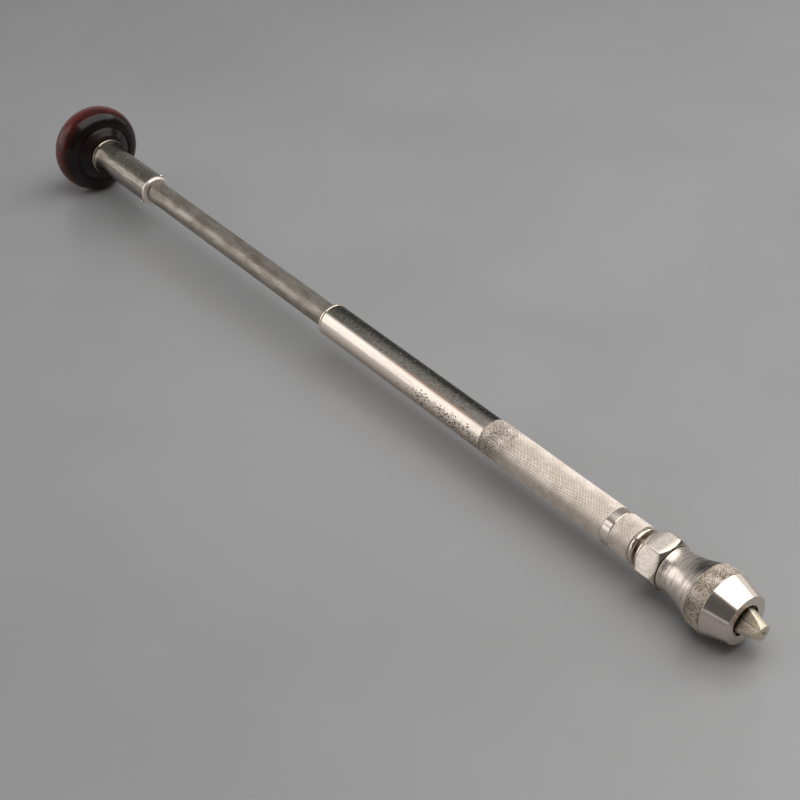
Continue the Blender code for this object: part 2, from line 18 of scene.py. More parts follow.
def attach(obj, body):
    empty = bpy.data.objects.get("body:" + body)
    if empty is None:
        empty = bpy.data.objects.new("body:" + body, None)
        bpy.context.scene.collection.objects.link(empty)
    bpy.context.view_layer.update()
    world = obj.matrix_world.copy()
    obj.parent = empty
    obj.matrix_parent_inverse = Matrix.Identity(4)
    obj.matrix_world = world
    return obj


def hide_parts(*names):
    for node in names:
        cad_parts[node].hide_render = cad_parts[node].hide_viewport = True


MM = 0.001
SIDES = 192  # facets round a turned piece
SHARP = 32.0  # the least angle at an edge that isn't shaded smooth
KNURL_DEPTH = 0.3
FACET = math.cos(math.pi / 24)  # how near the middle of a facet of the knob or the chuck band is

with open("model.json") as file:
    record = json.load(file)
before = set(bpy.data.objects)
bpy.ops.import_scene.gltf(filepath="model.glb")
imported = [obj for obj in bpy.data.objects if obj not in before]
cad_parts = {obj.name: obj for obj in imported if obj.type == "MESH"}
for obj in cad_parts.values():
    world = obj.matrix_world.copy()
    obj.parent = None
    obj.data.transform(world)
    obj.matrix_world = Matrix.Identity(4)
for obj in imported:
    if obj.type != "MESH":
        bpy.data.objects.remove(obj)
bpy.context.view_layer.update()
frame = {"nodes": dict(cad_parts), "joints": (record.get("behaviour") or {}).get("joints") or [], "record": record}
record = frame["record"]
joints = {joint["name"]: joint for joint in frame["joints"]}
mounts = {mount["name"]: mount for mount in record["mounts"]}


def tool_matrix():
    """The tool's frame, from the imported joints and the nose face."""
    along = Vector(joints["push_stroke"]["axis"]).normalized()
    on_axis = Vector(joints["spindle_spin"]["pos_m"])
    nose = Vector(mounts["nose_face"]["pos_m"])
    origin = on_axis + along * (nose - on_axis).dot(along)
    across = Vector((0, 1, 0))
    up = along.cross(across)
    turn = Matrix((along, across, up)).transposed()
    return Matrix.Translation(origin) @ turn.to_4x4()


TOOL = tool_matrix()


def span(node):
    """A CAD node's first and last station and its largest radius, in millimetres."""
    inverse = TOOL.inverted()
    local = [inverse @ corner.co for corner in frame["nodes"][node].data.vertices]
    stations = [-point.x / MM for point in local]
    radius = max(point.yz.length for point in local) / MM
    return min(stations), max(stations), radius


# Turned shapes --------------------------------------------------------------------------------------------


def curve(start, corner, end, steps):
    """Points on a curve from start to end that leans towards corner."""
    shares = [step / steps for step in range(steps + 1)]
    return [(1 - t) ** 2 * start + 2 * t * (1 - t) * corner + t * t * end for t in shares]


def soften(outline, radii, steps=4, support=0.14):
    """Round a closed outline's corners. radii is one number, or one for each corner. Each point comes back
    as (station, radius, wear), where wear is 1 on a rounded edge, and long runs get a point near each end so
    that they shade flat."""
    count = len(outline)
    if not isinstance(radii, (list, tuple)):
        radii = [radii] * count
    points = []
    for index in range(count):
        corner = Vector(outline[index])
        before = Vector(outline[index - 1]) - corner
        after = Vector(outline[(index + 1) % count]) - corner
        round_r = min(radii[index], 0.45 * before.length, 0.45 * after.length)
        if round_r <= 0 or corner.y <= 0:
            points.append((corner.x, corner.y, 0.0))
            continue
        start = corner + before.normalized() * round_r
        end = corner + after.normalized() * round_r
        points += [(point.x, point.y, 1.0) for point in curve(start, corner, end, steps)]
    full = []
    for index, point in enumerate(points):
        following = points[(index + 1) % len(points)]
        full.append(point)
        run = Vector(following[:2]) - Vector(point[:2])
        if run.length > 6 * support:
            for reach in (support, run.length - support):
                held = Vector(point[:2]) + run * (reach / run.length)
                full.append((held.x, held.y, 0.0))
    return full


def arc(centre, radii, start, end, steps):
    """Points on an ellipse about (station, radius); 0 degrees points to the knob and 90 outwards."""
    points = []
    for step in range(steps + 1):
        turn = math.radians(start + (end - start) * step / steps)
        points.append((centre[0] + radii[0] * math.cos(turn), centre[1] + radii[1] * math.sin(turn)))
    return points


def make_mesh(name, corners, faces, wear=None, sharp=SHARP):
    mesh = bpy.data.meshes.new(name)
    mesh.from_pydata(corners, [], faces)
    if wear:
        mesh.attributes.new("wear", "FLOAT", "POINT").data.foreach_set("value", np.array(wear, np.float32))
    return shade(mesh, sharp)


def shade(mesh, sharp=SHARP):
    shape = bmesh.new()
    shape.from_mesh(mesh)
    bmesh.ops.recalc_face_normals(shape, faces=shape.faces)
    shape.to_mesh(mesh)
    shape.free()
    mesh.shade_smooth()
    mesh.set_sharp_from_angle(angle=math.radians(sharp))
    return mesh


def bands(rings, sides, closed=False):
    """Faces between neighbouring rings of corners, and between the last and the first if it is closed."""
    faces = []
    for index in range(rings if closed else rings - 1):
        near, far = index * sides, (index + 1) % rings * sides
        for column in range(sides):
            following = (column + 1) % sides
            faces.append((near + column, near + following, far + following, far + column))
    return faces


def turned(name, rows, sides=SIDES, grooved=None):
    """Turn a closed list of rows about the axis. A row is (station, radius, wear), or (station, radius) where
    nothing is worn, and radius and wear may be lists with one value for each facet. grooved is the first and
    last row of a knurl, whose faces are split along the grooves."""
    corners, wear, loops = [], [], []
    for row in rows:
        station, radius, worn = (*row, 0.0)[:3]
        if isinstance(radius, (int, float)) and radius <= 0:
            loops.append([len(corners)] * sides)
            corners.append((-station * MM, 0.0, 0.0))
            wear.append(worn)
            continue
        loops.append(list(range(len(corners), len(corners) + sides)))
        wear += worn if isinstance(worn, list) else [worn] * sides
        for column, size in enumerate(radius if isinstance(radius, list) else [radius] * sides):
            turn = math.tau * column / sides
            corners.append((-station * MM, size * MM * math.cos(turn), size * MM * math.sin(turn)))
    faces = []
    for index, near in enumerate(loops):
        far = loops[(index + 1) % len(loops)]
        ridged = grooved is not None and grooved[0] <= index < grooved[1]
        for column in range(sides):
            following = (column + 1) % sides
            face = (near[column], near[following], far[following], far[column])
            kept = tuple(dict.fromkeys(face))
            if len(kept) < 3:
                continue
            if ridged and (index - grooved[0] + column) % 2 == 0:
                faces += [(face[0], face[1], face[2]), (face[0], face[2], face[3])]
            elif ridged:
                faces += [(face[0], face[1], face[3]), (face[1], face[2], face[3])]
            else:
                faces.append(kept)
    return make_mesh(name, corners, faces, wear)


def knurl(front, back, radius_at, columns, height_at):
    """Rows of a diamond knurl between two stations: tops and groove crossings in turn. height_at says how
    much of a top's height is left at a station and an angle. The wear value is 0 on a top and 1 in a
    groove."""
    pitch = math.tau * radius_at((front + back) / 2) / columns
    count = 2 * round((back - front) / pitch)
    rows = []
    for index in range(count + 1):
        station = front + (back - front) * index / count
        sizes, marks = [], []
        for column in range(2 * columns):
            low = (index + column) % 2 == 0 or index in (0, count)
            height = height_at(station, math.tau * column / (2 * columns))
            sizes.append(radius_at(station) - KNURL_DEPTH * (1.0 if low else 1 - height))
            marks.append(1.0 if low else 0.0)
        rows.append((station, sizes, marks))
    return rows


def turned_knurl(name, before, diamonds, after):
    """Turn a piece with a knurl and plain rows before and after it."""
    start = len(before)
    sides = len(diamonds[0][1])
    return turned(name, before + diamonds + after, sides, (start, start + len(diamonds) - 1))


def solid_rod(name, station, radius, half_length, dome, angle, sides=48):
    """A rod across the axis, with domed ends."""
    ends = [(-half_length, 0.0), (-half_length + 0.12 * dome, 0.45 * radius)]
    ends += [(-half_length + 0.42 * dome, 0.8 * radius), (-half_length + dome, radius)]
    outline = ends + [(-along, size) for along, size in reversed(ends)]
    mesh = turned(name, outline, sides)
    mesh.transform(Matrix.Rotation(math.pi / 2, 4, "Z"))
    mesh.transform(Matrix.Rotation(math.radians(angle), 4, "X"))
    mesh.transform(Matrix.Translation((-station * MM, 0, 0)))
    return mesh


def box_mesh(name, front, back, height, width, angle):
    """A block on the axis between two stations, with its height along the given angle."""
    shape = bmesh.new()
    bmesh.ops.create_cube(shape, size=1.0)
    bmesh.ops.scale(shape, verts=shape.verts, vec=Vector((back - front, height, width)) * MM)
    bmesh.ops.translate(shape, verts=shape.verts, vec=Vector((-(front + back) / 2, 0, 0)) * MM)
    bmesh.ops.rotate(shape, verts=shape.verts, matrix=Matrix.Rotation(math.radians(angle), 3, "X"))
    mesh = bpy.data.meshes.new(name)
    shape.to_mesh(mesh)
    shape.free()
    return mesh


def cut(mesh, *cutters):
    """Cut other meshes out of a mesh, all in the tool's frame, and give the result as a new mesh."""
    target = bpy.data.objects.new(f"{mesh.name}_target", mesh)
    bpy.context.collection.objects.link(target)
    helpers = [target]
    for cutter in cutters:
        helper = bpy.data.objects.new(cutter.name, cutter)
        bpy.context.collection.objects.link(helper)
        helpers.append(helper)
        boolean = target.modifiers.new(cutter.name, "BOOLEAN")
        boolean.operation = "DIFFERENCE"
        boolean.solver = "EXACT"
        boolean.object = helper
    graph = bpy.context.evaluated_depsgraph_get()
    graph.update()
    result = bpy.data.meshes.new_from_object(target.evaluated_get(graph))
    result.name = mesh.name
    for helper in helpers:
        bpy.data.objects.remove(helper)
    return shade(result)


# Materials ------------------------------------------------------------------------------------------------


def plug(tree, socket, value):
    if isinstance(value, bpy.types.NodeSocket):
        tree.links.new(value, socket)
    else:
        socket.default_value = value


def add_node(tree, kind, sockets=None, **settings):
    """A new node. Its inputs, by name or number, are given as values or as other nodes' outputs."""
    node = tree.nodes.new(kind)
    for name, value in settings.items():
        setattr(node, name, value)
    for name, value in (sockets or {}).items():
        plug(tree, node.inputs[name], value)
    return node


class Look:
    """A material, with short ways to build up its colour, roughness and normal. It is laid out in the tool's
    own coordinates, in millimetres."""

    def __init__(self, name, metallic=1.0, roughness=0.3, colour=(0.8, 0.8, 0.8), coat=0.0):
        self.material = bpy.data.materials.new(name)
        self.material.use_nodes = True
        self.tree = self.material.node_tree
        self.shader = self.tree.nodes["Principled BSDF"]
        self.shader.inputs["Metallic"].default_value = metallic
        self.shader.inputs["Roughness"].default_value = roughness
        self.shader.inputs["Base Color"].default_value = (*colour, 1.0)
        self.shader.inputs["Coat Weight"].default_value = coat
        self.colour = self.rough = self.normal = None
        to_tool = TOOL.inverted()
        sockets = {"Vector": self.add("ShaderNodeTexCoord").outputs["Object"]}
        sockets |= {"Location": to_tool.translation, "Rotation": to_tool.to_euler()}
        placed = self.add("ShaderNodeMapping", sockets, vector_type="POINT")
        self.place = self.vector("SCALE", placed.outputs[0], Scale=1 / MM)

    def add(self, kind, sockets=None, **settings):
        return add_node(self.tree, kind, sockets, **settings)

    def vector(self, operation, first, second=None, **named):
        sockets = {0: first, **named}
        if second is not None:
            sockets[1] = second
        return self.add("ShaderNodeVectorMath", sockets, operation=operation).outputs[0]

    def maths(self, operation, first, second=0.0):
        return self.add("ShaderNodeMath", {0: first, 1: second}, operation=operation).outputs[0]

    def times(self, *values):
        result = values[0]
        for value in values[1:]:
            result = self.maths("MULTIPLY", result, value)
        return result

    def squeezed(self, place):
        """Coordinates for a texture: given ones, or the tool's times a pair (along the axis, across it)."""
        if isinstance(place, tuple):
            return self.vector("MULTIPLY", self.place, (place[0], place[1], place[1]))
        return place or self.place

    def noise(self, size, place=None, detail=3.0, roughness=0.55, shift=0.0):
        """Noise from 0 to 1 with features of about that size."""
        sockets = {"Vector": self.squeezed(place), "W": shift, "Scale": 1.0 / size}
        sockets |= {"Detail": detail, "Roughness": roughness}
        return self.add("ShaderNodeTexNoise", sockets, noise_dimensions="4D").outputs["Fac"]

    def dots(self, size, radius, share, place=None):
        """Round dots on a scatter of points about that size apart. radius is in parts of that, and share is
        how many of the points have one."""
        node = self.add("ShaderNodeTexVoronoi", {"Vector": self.squeezed(place), "Scale": 1.0 / size})
        draw = self.add("ShaderNodeSeparateColor", {0: node.outputs["Color"]}).outputs[0]
        chosen = self.fade(self.maths("SUBTRACT", share, draw), 0.0, 0.03)
        return self.times(self.fade(node.outputs["Distance"], radius, 0.6 * radius), chosen)

    def drift(self, size, reach):
        """A vector that wanders by about reach over a distance of size."""
        node = self.add("ShaderNodeTexNoise", {"Vector": self.place, "Scale": 1.0 / size})
        return self.vector("SCALE", node.outputs["Color"], Scale=reach)

    def fade(self, value, start, end, low=0.0, high=1.0):
        """low where value is at start, high at end, smooth between."""
        sockets = {"Value": value, "From Min": start, "From Max": end, "To Min": low, "To Max": high}
        return self.add("ShaderNodeMapRange", sockets, interpolation_type="SMOOTHSTEP").outputs["Result"]

    def axis(self, letter):
        return self.add("ShaderNodeSeparateXYZ", {0: self.place}).outputs[letter]

    def station(self):
        return self.times(self.axis("X"), -1.0)

    def facing(self, angle):
        """Cosine of the angle about the axis between a point and a given direction."""
        turn = math.radians(angle)
        along_y = self.times(self.axis("Y"), math.cos(turn))
        along_z = self.times(self.axis("Z"), math.sin(turn))
        across = {0: self.vector("MULTIPLY", self.place, (0.0, 1.0, 1.0))}
        length = self.add("ShaderNodeVectorMath", across, operation="LENGTH").outputs["Value"]
        return self.maths("DIVIDE", self.maths("ADD", along_y, along_z), length)

    def angle(self):
        """Angle about the axis, in degrees from -180 to 180."""
        return self.times(self.maths("ARCTAN2", self.axis("Z"), self.axis("Y")), 180 / math.pi)

    def wear(self):
        return self.add("ShaderNodeAttribute", attribute_name="wear").outputs["Fac"]

    def mix(self, share, first, second):
        sockets = {"Factor": share}
        for number, value in ((6, first), (7, second)):
            sockets[number] = value if isinstance(value, bpy.types.NodeSocket) else (*value, 1.0)
        return self.add("ShaderNodeMix", sockets, data_type="RGBA").outputs[2]

    def cover(self, share, colour):
        self.colour = self.mix(share, self.colour, colour)

    def roughen(self, amount):
        self.rough = self.maths("ADD", self.rough, amount)

    def bump(self, height, depth):
        """Raise the surface by a height from 0 to 1, times depth."""
        sockets = {"Distance": depth * MM, "Height": height}
        if self.normal is not None:
            sockets["Normal"] = self.normal
        self.normal = self.add("ShaderNodeBump", sockets).outputs["Normal"]

    def finish(self):
        for name, value in (("Base Color", self.colour), ("Roughness", self.rough), ("Normal", self.normal)):
            if value is not None:
                plug(self.tree, self.shader.inputs[name], value)
        return self.material


NICKEL = (0.80, 0.71, 0.63)
NICKEL_DULL = (0.47, 0.40, 0.33)
NICKEL_DARK = (0.20, 0.175, 0.145)
BRASSY = (0.66, 0.55, 0.34)
DIRT = (0.03, 0.022, 0.014)
COPPER = (0.62, 0.27, 0.17)


def nickel_look(name, gloss=0.1, haze=0.1, lines=0.0, stain=0.35, wave=0.02, dark=0.0):
    """Old nickel plate: bright, a little hazy, with faint stains, scuffs and worn edges. lines is the depth
    of turning marks round the piece and wave that of the plating's unevenness, in millimetres. dark is how
    far fine dark mottling covers it."""
    look = Look(name, roughness=gloss, colour=NICKEL)
    clouds = look.noise(9.0, (0.5, 1.0), detail=5.0)
    streaks = look.noise(0.9, (0.06, 1.0), detail=4.0)
    scuffs = look.noise(0.35, (0.5, 1.0), detail=6.0, roughness=0.7)
    stained = look.times(look.fade(clouds, 0.45, 0.72), look.fade(streaks, 0.35, 0.7), stain)
    look.colour = look.mix(stained, NICKEL, NICKEL_DULL)
    look.cover(look.times(look.wear(), look.fade(scuffs, 0.4, 0.62), 0.6), BRASSY)
    if dark:
        mottle = look.noise(1.1, (0.6, 1.0), detail=6.0, roughness=0.7, shift=7.0)
        look.cover(look.fade(mottle, 0.4, 0.66, 0.0, dark), NICKEL_DARK)
    look.rough = look.fade(scuffs, 0.4, 0.75, gloss, gloss + haze)
    look.roughen(look.times(stained, 0.2))
    look.bump(look.noise(14.0, (0.4, 1.0), detail=1.0), wave)
    look.bump(scuffs, 0.0015)
    if lines:
        marks = look.noise(1.0, (1.0, 0.08), detail=5.0, roughness=0.7)
        look.bump(marks, lines)
        look.cover(look.fade(marks, 0.45, 0.66, 0.0, 0.75), NICKEL_DARK)
    return look


def barrel_look():
    """The barrel's plate: tarnished along its upper side, where painted dark reflection and painted shading lie
    over the tarnish, with black pits and brown specks on its lower side near the grip, and thin
    copper-coloured lines along its front half."""
    look = nickel_look("barrel_nickel", gloss=0.2, haze=0.1, stain=0.25, wave=0.012)
    station = look.station()
    # Upper side: real tarnish, with a painted dark reflection laid over it.
    upper = look.fade(look.facing(82.0), 0.66, 0.82)
    grain = look.noise(1.3, (0.6, 1.0), detail=5.0, roughness=0.75, shift=9.0)
    by_grip = look.fade(station, 310.0, 250.0, 0.45, 0.9)
    # Painted shading: the dark upper side is painted lighter towards the lit side, and more so towards the front.
    painted_shading = look.times(look.fade(look.facing(135.0), 0.5, 1.0), by_grip)
    shade = look.mix(painted_shading, (0.026, 0.024, 0.019), (0.42, 0.385, 0.34))
    shade = look.mix(look.fade(grain, 0.47, 0.36, 0.0, 0.75), shade, (0.02, 0.018, 0.014))
    # Painted highlight: the light crust flecks are painted brighter and thicker near the edge of the highlight.
    near_painted_highlight = look.fade(look.facing(124.0), 0.72, 0.98, 0.1, 1.0)
    crust = look.noise(0.5, (0.45, 1.0), detail=5.0, roughness=0.8, shift=15.0)
    crust_and_painted_highlight = look.times(look.fade(crust, 0.53, 0.64), look.fade(grain, 0.42, 0.6), near_painted_highlight)
    shade = look.mix(look.times(crust_and_painted_highlight, 0.8), shade, (0.72, 0.69, 0.63))
    flecks = look.dots(1.0, 0.45, look.fade(grain, 0.45, 0.65, 0.05, 0.6), (0.7, 1.0))
    look.cover(upper, look.mix(look.times(flecks, 0.65), shade, (0.6, 0.57, 0.52)))
    look.roughen(look.times(upper, 0.14))

    near_grip = look.fade(station, 258.0, 205.0)
    underside = look.fade(look.facing(192.0), 0.62, 0.85)
    patches = look.noise(7.0, detail=3.0, shift=3.0)
    pit_room = look.times(near_grip, underside, look.fade(look.facing(225.0), 0.99, 0.85, 0.4, 1.0))
    crowd = look.times(pit_room, look.fade(patches, 0.3, 0.65, 0.3, 0.95))
    pits = look.dots(1.05, 0.45, crowd, (0.7, 1.0))
    brown = look.times(look.fade(look.facing(212.0), 0.7, 1.0), look.fade(station, 330.0, 200.0, 0.3, 0.8))
    look.cover(brown, (0.56, 0.45, 0.35))

    # Three thin copper-coloured lines along the front half, at turns of about 121 to 132 degrees.
    wobble = look.times(look.maths("SUBTRACT", look.noise(60.0, shift=8.0), 0.5), 3.0)
    turn = look.maths("ADD", look.angle(), wobble)
    front_half = look.times(look.fade(station, 262.0, 225.0), look.fade(station, 168.0, 190.0))
    for middle, half_width, strength in ((126.5, 1.5, 0.95), (121.0, 1.0, 0.75), (131.5, 0.8, 0.6)):
        away = look.maths("ABSOLUTE", look.maths("SUBTRACT", turn, middle))
        line = look.fade(away, half_width, 0.3 * half_width)
        look.cover(look.times(line, front_half, strength), COPPER)
    look.cover(pits, DIRT)
    look.roughen(look.times(pits, 0.4))
    look.bump(look.maths("SUBTRACT", 1.0, pits), 0.03)
    return look.finish()


def neck_look():
    """The hollow neck of the chuck: turning marks all round it, with a painted dark reflection on its upper
    side, darkest by the knurl.
    """
    look = nickel_look("neck_nickel", gloss=0.24, haze=0.12, stain=0.4, lines=0.02)
    station = look.station()
    rings = look.noise(0.8, (1.0, 0.05), detail=5.0, roughness=0.75, shift=4.0)
    smear = look.noise(6.0, (0.6, 1.0), detail=3.0, shift=6.0)
    # Painted dark reflection over the upper side, broken up by the turning marks and smears.
    upper = look.times(look.fade(look.facing(72.0), 0.6, 0.95), look.fade(station, 40.0, 30.0))
    share = look.times(look.fade(rings, 0.38, 0.6, 0.25, 1.0), look.fade(smear, 0.3, 0.6, 0.4, 1.0), 0.9)
    look.cover(look.times(upper, share), (0.1, 0.085, 0.068))
    # A darker painted reflection on the upper side next to the knurl, broken up by the turning marks; it is not
    # wear.
    by_knurl = look.times(look.fade(look.facing(68.0), 0.5, 0.88), look.fade(station, 34.0, 26.0))
    worn = look.times(by_knurl, look.fade(rings, 0.35, 0.56, 0.5, 1.0), look.fade(smear, 0.25, 0.5, 0.7, 1.0))
    look.cover(look.times(worn, 0.93), (0.03, 0.026, 0.021))
    return look.finish()


def knurl_look(name, dark_front, dark_back, least=0.3, light=(0.96, 0.87, 0.78), dull=(0.84, 0.75, 0.64)):
    """Knurled nickel: beige satin diamonds with dirt in the grooves, more of it towards one end, and painted
    shade that darkens the grooves on the lower side."""
    look = Look(name, colour=light)
    patches = look.noise(6.0, detail=4.0, shift=1.0)
    end_grime = look.fade(look.station(), dark_front, dark_back, least, 0.8)
    # Groove dirt towards one end, plus painted shade that darkens the lower side.
    grime_and_painted_shade = look.maths("ADD", end_grime, look.fade(look.facing(205.0), 0.6, 1.0, 0.0, 0.4))
    look.colour = look.mix(look.fade(patches, 0.35, 0.75, 0.0, 0.6), light, dull)
    # The groove colour: real dirt, and painted shade on the lower side.
    dirt = look.times(look.fade(look.wear(), 0.3, 1.0), grime_and_painted_shade, look.fade(patches, 0.3, 0.7, 0.5, 1.0))
    look.cover(dirt, (0.13, 0.095, 0.055))
    crowd = look.times(look.fade(end_grime, 0.3, 0.85), look.fade(patches, 0.3, 0.65, 0.35, 1.0))
    look.cover(look.times(look.dots(0.75, 0.55, crowd), 0.75), (0.09, 0.065, 0.035))
    look.rough = look.fade(patches, 0.3, 0.7, 0.46, 0.54)
    look.bump(look.noise(0.42, detail=4.0, roughness=0.7, shift=4.0), 0.008)
    return look.finish()


def tube_look():
    """Bare steel gone grey-brown, mottled and streaked along its length."""
    look = Look("tube_steel", colour=(0.4, 0.36, 0.32))
    mottle = look.noise(6.0, (0.35, 1.0), detail=6.0, roughness=0.65)
    streaks = look.noise(0.8, (0.05, 1.0), detail=4.0, shift=2.0)
    fine = look.noise(0.45, (0.6, 1.0), detail=5.0, roughness=0.75, shift=6.0)
    look.colour = look.mix(look.fade(mottle, 0.3, 0.72), (0.46, 0.425, 0.375), (0.25, 0.21, 0.17))
    look.cover(look.fade(streaks, 0.5, 0.75, 0.0, 0.55), (0.15, 0.13, 0.11))
    look.cover(look.fade(fine, 0.52, 0.7, 0.0, 0.7), (0.1, 0.08, 0.06))
    look.rough = look.fade(mottle, 0.3, 0.7, 0.4, 0.48)
    look.bump(fine, 0.007)
    look.bump(streaks, 0.004)
    return look.finish()


def ferrule_look(name="ferrule_nickel", bright_end=0.0):
    """Nickel gone grey and olive, darker over its upper side, with scratches both ways and brassy worn edges.
    Before the station bright_end it is painted bright, partly as bright nickel and partly as a painted
    highlight."""
    look = Look(name, colour=(0.42, 0.39, 0.35))
    station = look.station()
    mottle = look.noise(3.0, (0.16, 1.0), detail=6.0, roughness=0.65)
    rings = look.noise(0.3, (1.0, 0.03), detail=3.0, roughness=0.7, shift=1.0)
    streaks = look.noise(0.7, (0.07, 1.0), detail=4.0, shift=2.0)
    dents = look.noise(0.9, (0.5, 1.0), detail=5.0, roughness=0.7, shift=8.0)
    upper = look.fade(look.facing(82.0), 0.6, 0.85)
    look.colour = look.mix(look.fade(mottle, 0.3, 0.75), (0.36, 0.33, 0.295), (0.25, 0.22, 0.19))
    look.cover(look.fade(streaks, 0.45, 0.62, 0.0, 0.6), (0.14, 0.12, 0.095))
    # Darker over the upper side.
    look.cover(look.times(upper, look.fade(mottle, 0.2, 0.8, 0.95, 0.75)), (0.155, 0.15, 0.118))
    look.cover(look.fade(dents, 0.6, 0.72, 0.0, 0.5), (0.42, 0.39, 0.33))
    chips = look.dots(1.2, 0.42, look.times(upper, look.fade(dents, 0.45, 0.6, 0.12, 0.6)), (0.8, 1.0))
    look.cover(look.times(chips, 0.75), (0.62, 0.59, 0.52))
    look.cover(look.fade(station, 549.0, 557.0, 0.0, 0.6), (0.34, 0.3, 0.25))
    look.cover(look.times(look.wear(), look.fade(mottle, 0.7, 0.35, 0.55, 1.0)), (0.5, 0.44, 0.31))
    look.rough = look.fade(mottle, 0.3, 0.7, 0.19, 0.23)
    if bright_end:
        # Partly a painted highlight: the nose before this station is painted bright and rougher, a broad highlight
        # on brighter nickel.
        lit = look.fade(station, bright_end, bright_end - 0.7)
        look.cover(lit, (0.93, 0.82, 0.74))
        look.roughen(look.times(lit, 0.2))
    look.bump(rings, 0.0008)
    look.bump(streaks, 0.0006)
    return look.finish()


def jaw_look():
    """Worn tool steel with a yellowish tarnish, scratched, and painted dark as shade inside the mouth."""
    look = Look("jaw_steel", metallic=0.45, colour=(0.4, 0.36, 0.28))
    mottle = look.noise(2.2, detail=6.0, roughness=0.7)
    scratch = look.noise(0.5, (0.6, 1.0), detail=5.0, roughness=0.75, shift=3.0)
    look.colour = look.mix(look.fade(mottle, 0.35, 0.7), (0.97, 0.87, 0.71), (0.84, 0.69, 0.46))
    look.cover(look.fade(scratch, 0.53, 0.62, 0.0, 0.9), (0.07, 0.05, 0.03))
    # Painted shade: the jaws are painted dark where they run into the mouth, broken up by the mottle.
    painted_mouth_shade = look.times(look.fade(look.station(), -2.0, 1.0), look.fade(mottle, 0.2, 0.6, 0.6, 1.0))
    look.cover(painted_mouth_shade, (0.06, 0.04, 0.022))
    look.rough = look.fade(scratch, 0.3, 0.7, 0.3, 0.42)
    look.bump(scratch, 0.012)
    return look.finish()


def plain_metal(name, light, dark, gloss):
    """A working metal part inside the tool: turned, oily and a little uneven."""
    look = Look(name, colour=light)
    oil = look.noise(5.0, detail=4.0, shift=2.0)
    look.colour = look.mix(look.fade(oil, 0.35, 0.7), light, dark)
    look.rough = look.fade(oil, 0.3, 0.7, gloss, gloss + 0.15)
    look.bump(look.noise(0.3, (1.0, 0.05), detail=3.0, roughness=0.7), 0.006)
    return look.finish()


def rosewood_look():
    """Dark polished rosewood: red-brown with black figure and fine pores, under a worn polish."""
    look = Look("rosewood_polish", metallic=0.0, colour=(0.06, 0.015, 0.01), coat=0.5)
    for name, value in (("Coat Roughness", 0.16), ("Specular IOR Level", 0.1), ("Coat IOR", 1.5)):
        look.shader.inputs[name].default_value = value
    grain = look.vector("MULTIPLY", look.place, (1.0, 0.12, 0.9))
    figure = look.noise(4.5, look.vector("ADD", grain, look.drift(30.0, 9.0)), detail=4.0)
    fine = look.noise(0.7, look.vector("MULTIPLY", look.place, (1.0, 0.08, 1.0)), detail=4.0, shift=5.0)
    # Near black on the hollowed face and the disc, red-brown from station 580 on.
    by_rim = look.fade(look.station(), 573.0, 580.0)
    look.colour = look.mix(by_rim, (0.007, 0.0025, 0.0022), (0.15, 0.015, 0.008))
    look.cover(look.fade(figure, 0.42, 0.74, 0.0, 0.8), (0.018, 0.005, 0.004))
    look.cover(look.fade(fine, 0.5, 0.72, 0.0, 0.6), (0.007, 0.003, 0.0025))
    look.rough = look.fade(fine, 0.3, 0.7, 0.3, 0.42)
    look.bump(fine, 0.004)
    return look.finish()


LOOKS = {
    "barrel": barrel_look(),
    "polished": nickel_look("polished_nickel", gloss=0.14, haze=0.08, stain=0.2, wave=0.006).finish(),
    "hexagon": nickel_look("hexagon_nickel", 0.2, 0.06, stain=0.3, wave=0.004, dark=0.2).finish(),
    "shell": nickel_look("shell_nickel", 0.15, 0.08, stain=0.3, wave=0.006, dark=0.1).finish(),
    "neck": neck_look(),
    "ring": nickel_look("ring_nickel", gloss=0.12, haze=0.1, stain=0.7, wave=0.004).finish(),
    "grip": knurl_look("grip_knurl", 132.0, 172.0, 0.2),
    "cap": knurl_look("cap_knurl", 70.0, 160.0, 0.2),
    "band": knurl_look("band_knurl", -20.0, 30.0, 0.5, (0.88, 0.77, 0.66), (0.6, 0.5, 0.4)),
    "tube": tube_look(),
    "ferrule": ferrule_look(),
    "collar": ferrule_look("collar_nickel", span("head_collar")[0] + 3.0),
    "jaw": jaw_look(),
    "wood": rosewood_look(),
    "steel": plain_metal("inner_steel", (0.5, 0.48, 0.45), (0.3, 0.28, 0.25), 0.25),
    "bronze": plain_metal("inner_bronze", (0.62, 0.42, 0.2), (0.4, 0.26, 0.12), 0.28),
}

# Pieces ---------------------------------------------------------------------------------------------------

GAP = 0.3
SEAM = 0.06  # what is left to see between two pieces that are screwed up tight
BORE_R = 8.0
KEYWAY_R = 8.8
KEYWAY_ANGLE = 270.0  # it faces down
KEYWAY_HALF_ANGLE = 12.5
SPIGOT_FRONT = 158.6
SPIGOT_R = 9.2
GRIP_COLUMNS = 60
VISIBLE_RING_BACK = 64.3
HEX_FRONT = 44.5
HEX_BACK = 57.4
HEX_ACROSS = 24.1
HEX_ANGLE = 126.0  # one of its corners
JAW_ANGLE = 47.0
JAW_HALF_WIDTH = 3.8
JAW_TIP = -10.3
JAW_TIP_R = 3.75
JAW_RAMP = 0.28
TUBE_R = 7.14
PIN_STATION = 508.5
PIN_ANGLE = 43.0


def add_piece(name, mesh, look, body, slot, *replaced):
    """Put a mesh made in the tool's frame in its place, with one of LOOKS unless it has materials already."""
    mesh.transform(TOOL)
    item = bpy.data.objects.new(name, mesh)
    bpy.context.collection.objects.link(item)
    if not mesh.materials:
        mesh.materials.append(LOOKS[look])
    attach(item, body)
    if replaced:
        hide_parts(*replaced)


def add_turned(name, rows, look, body, slot, *replaced, sides=SIDES):
    add_piece(name, turned(name, rows, sides), look, body, slot, *replaced)


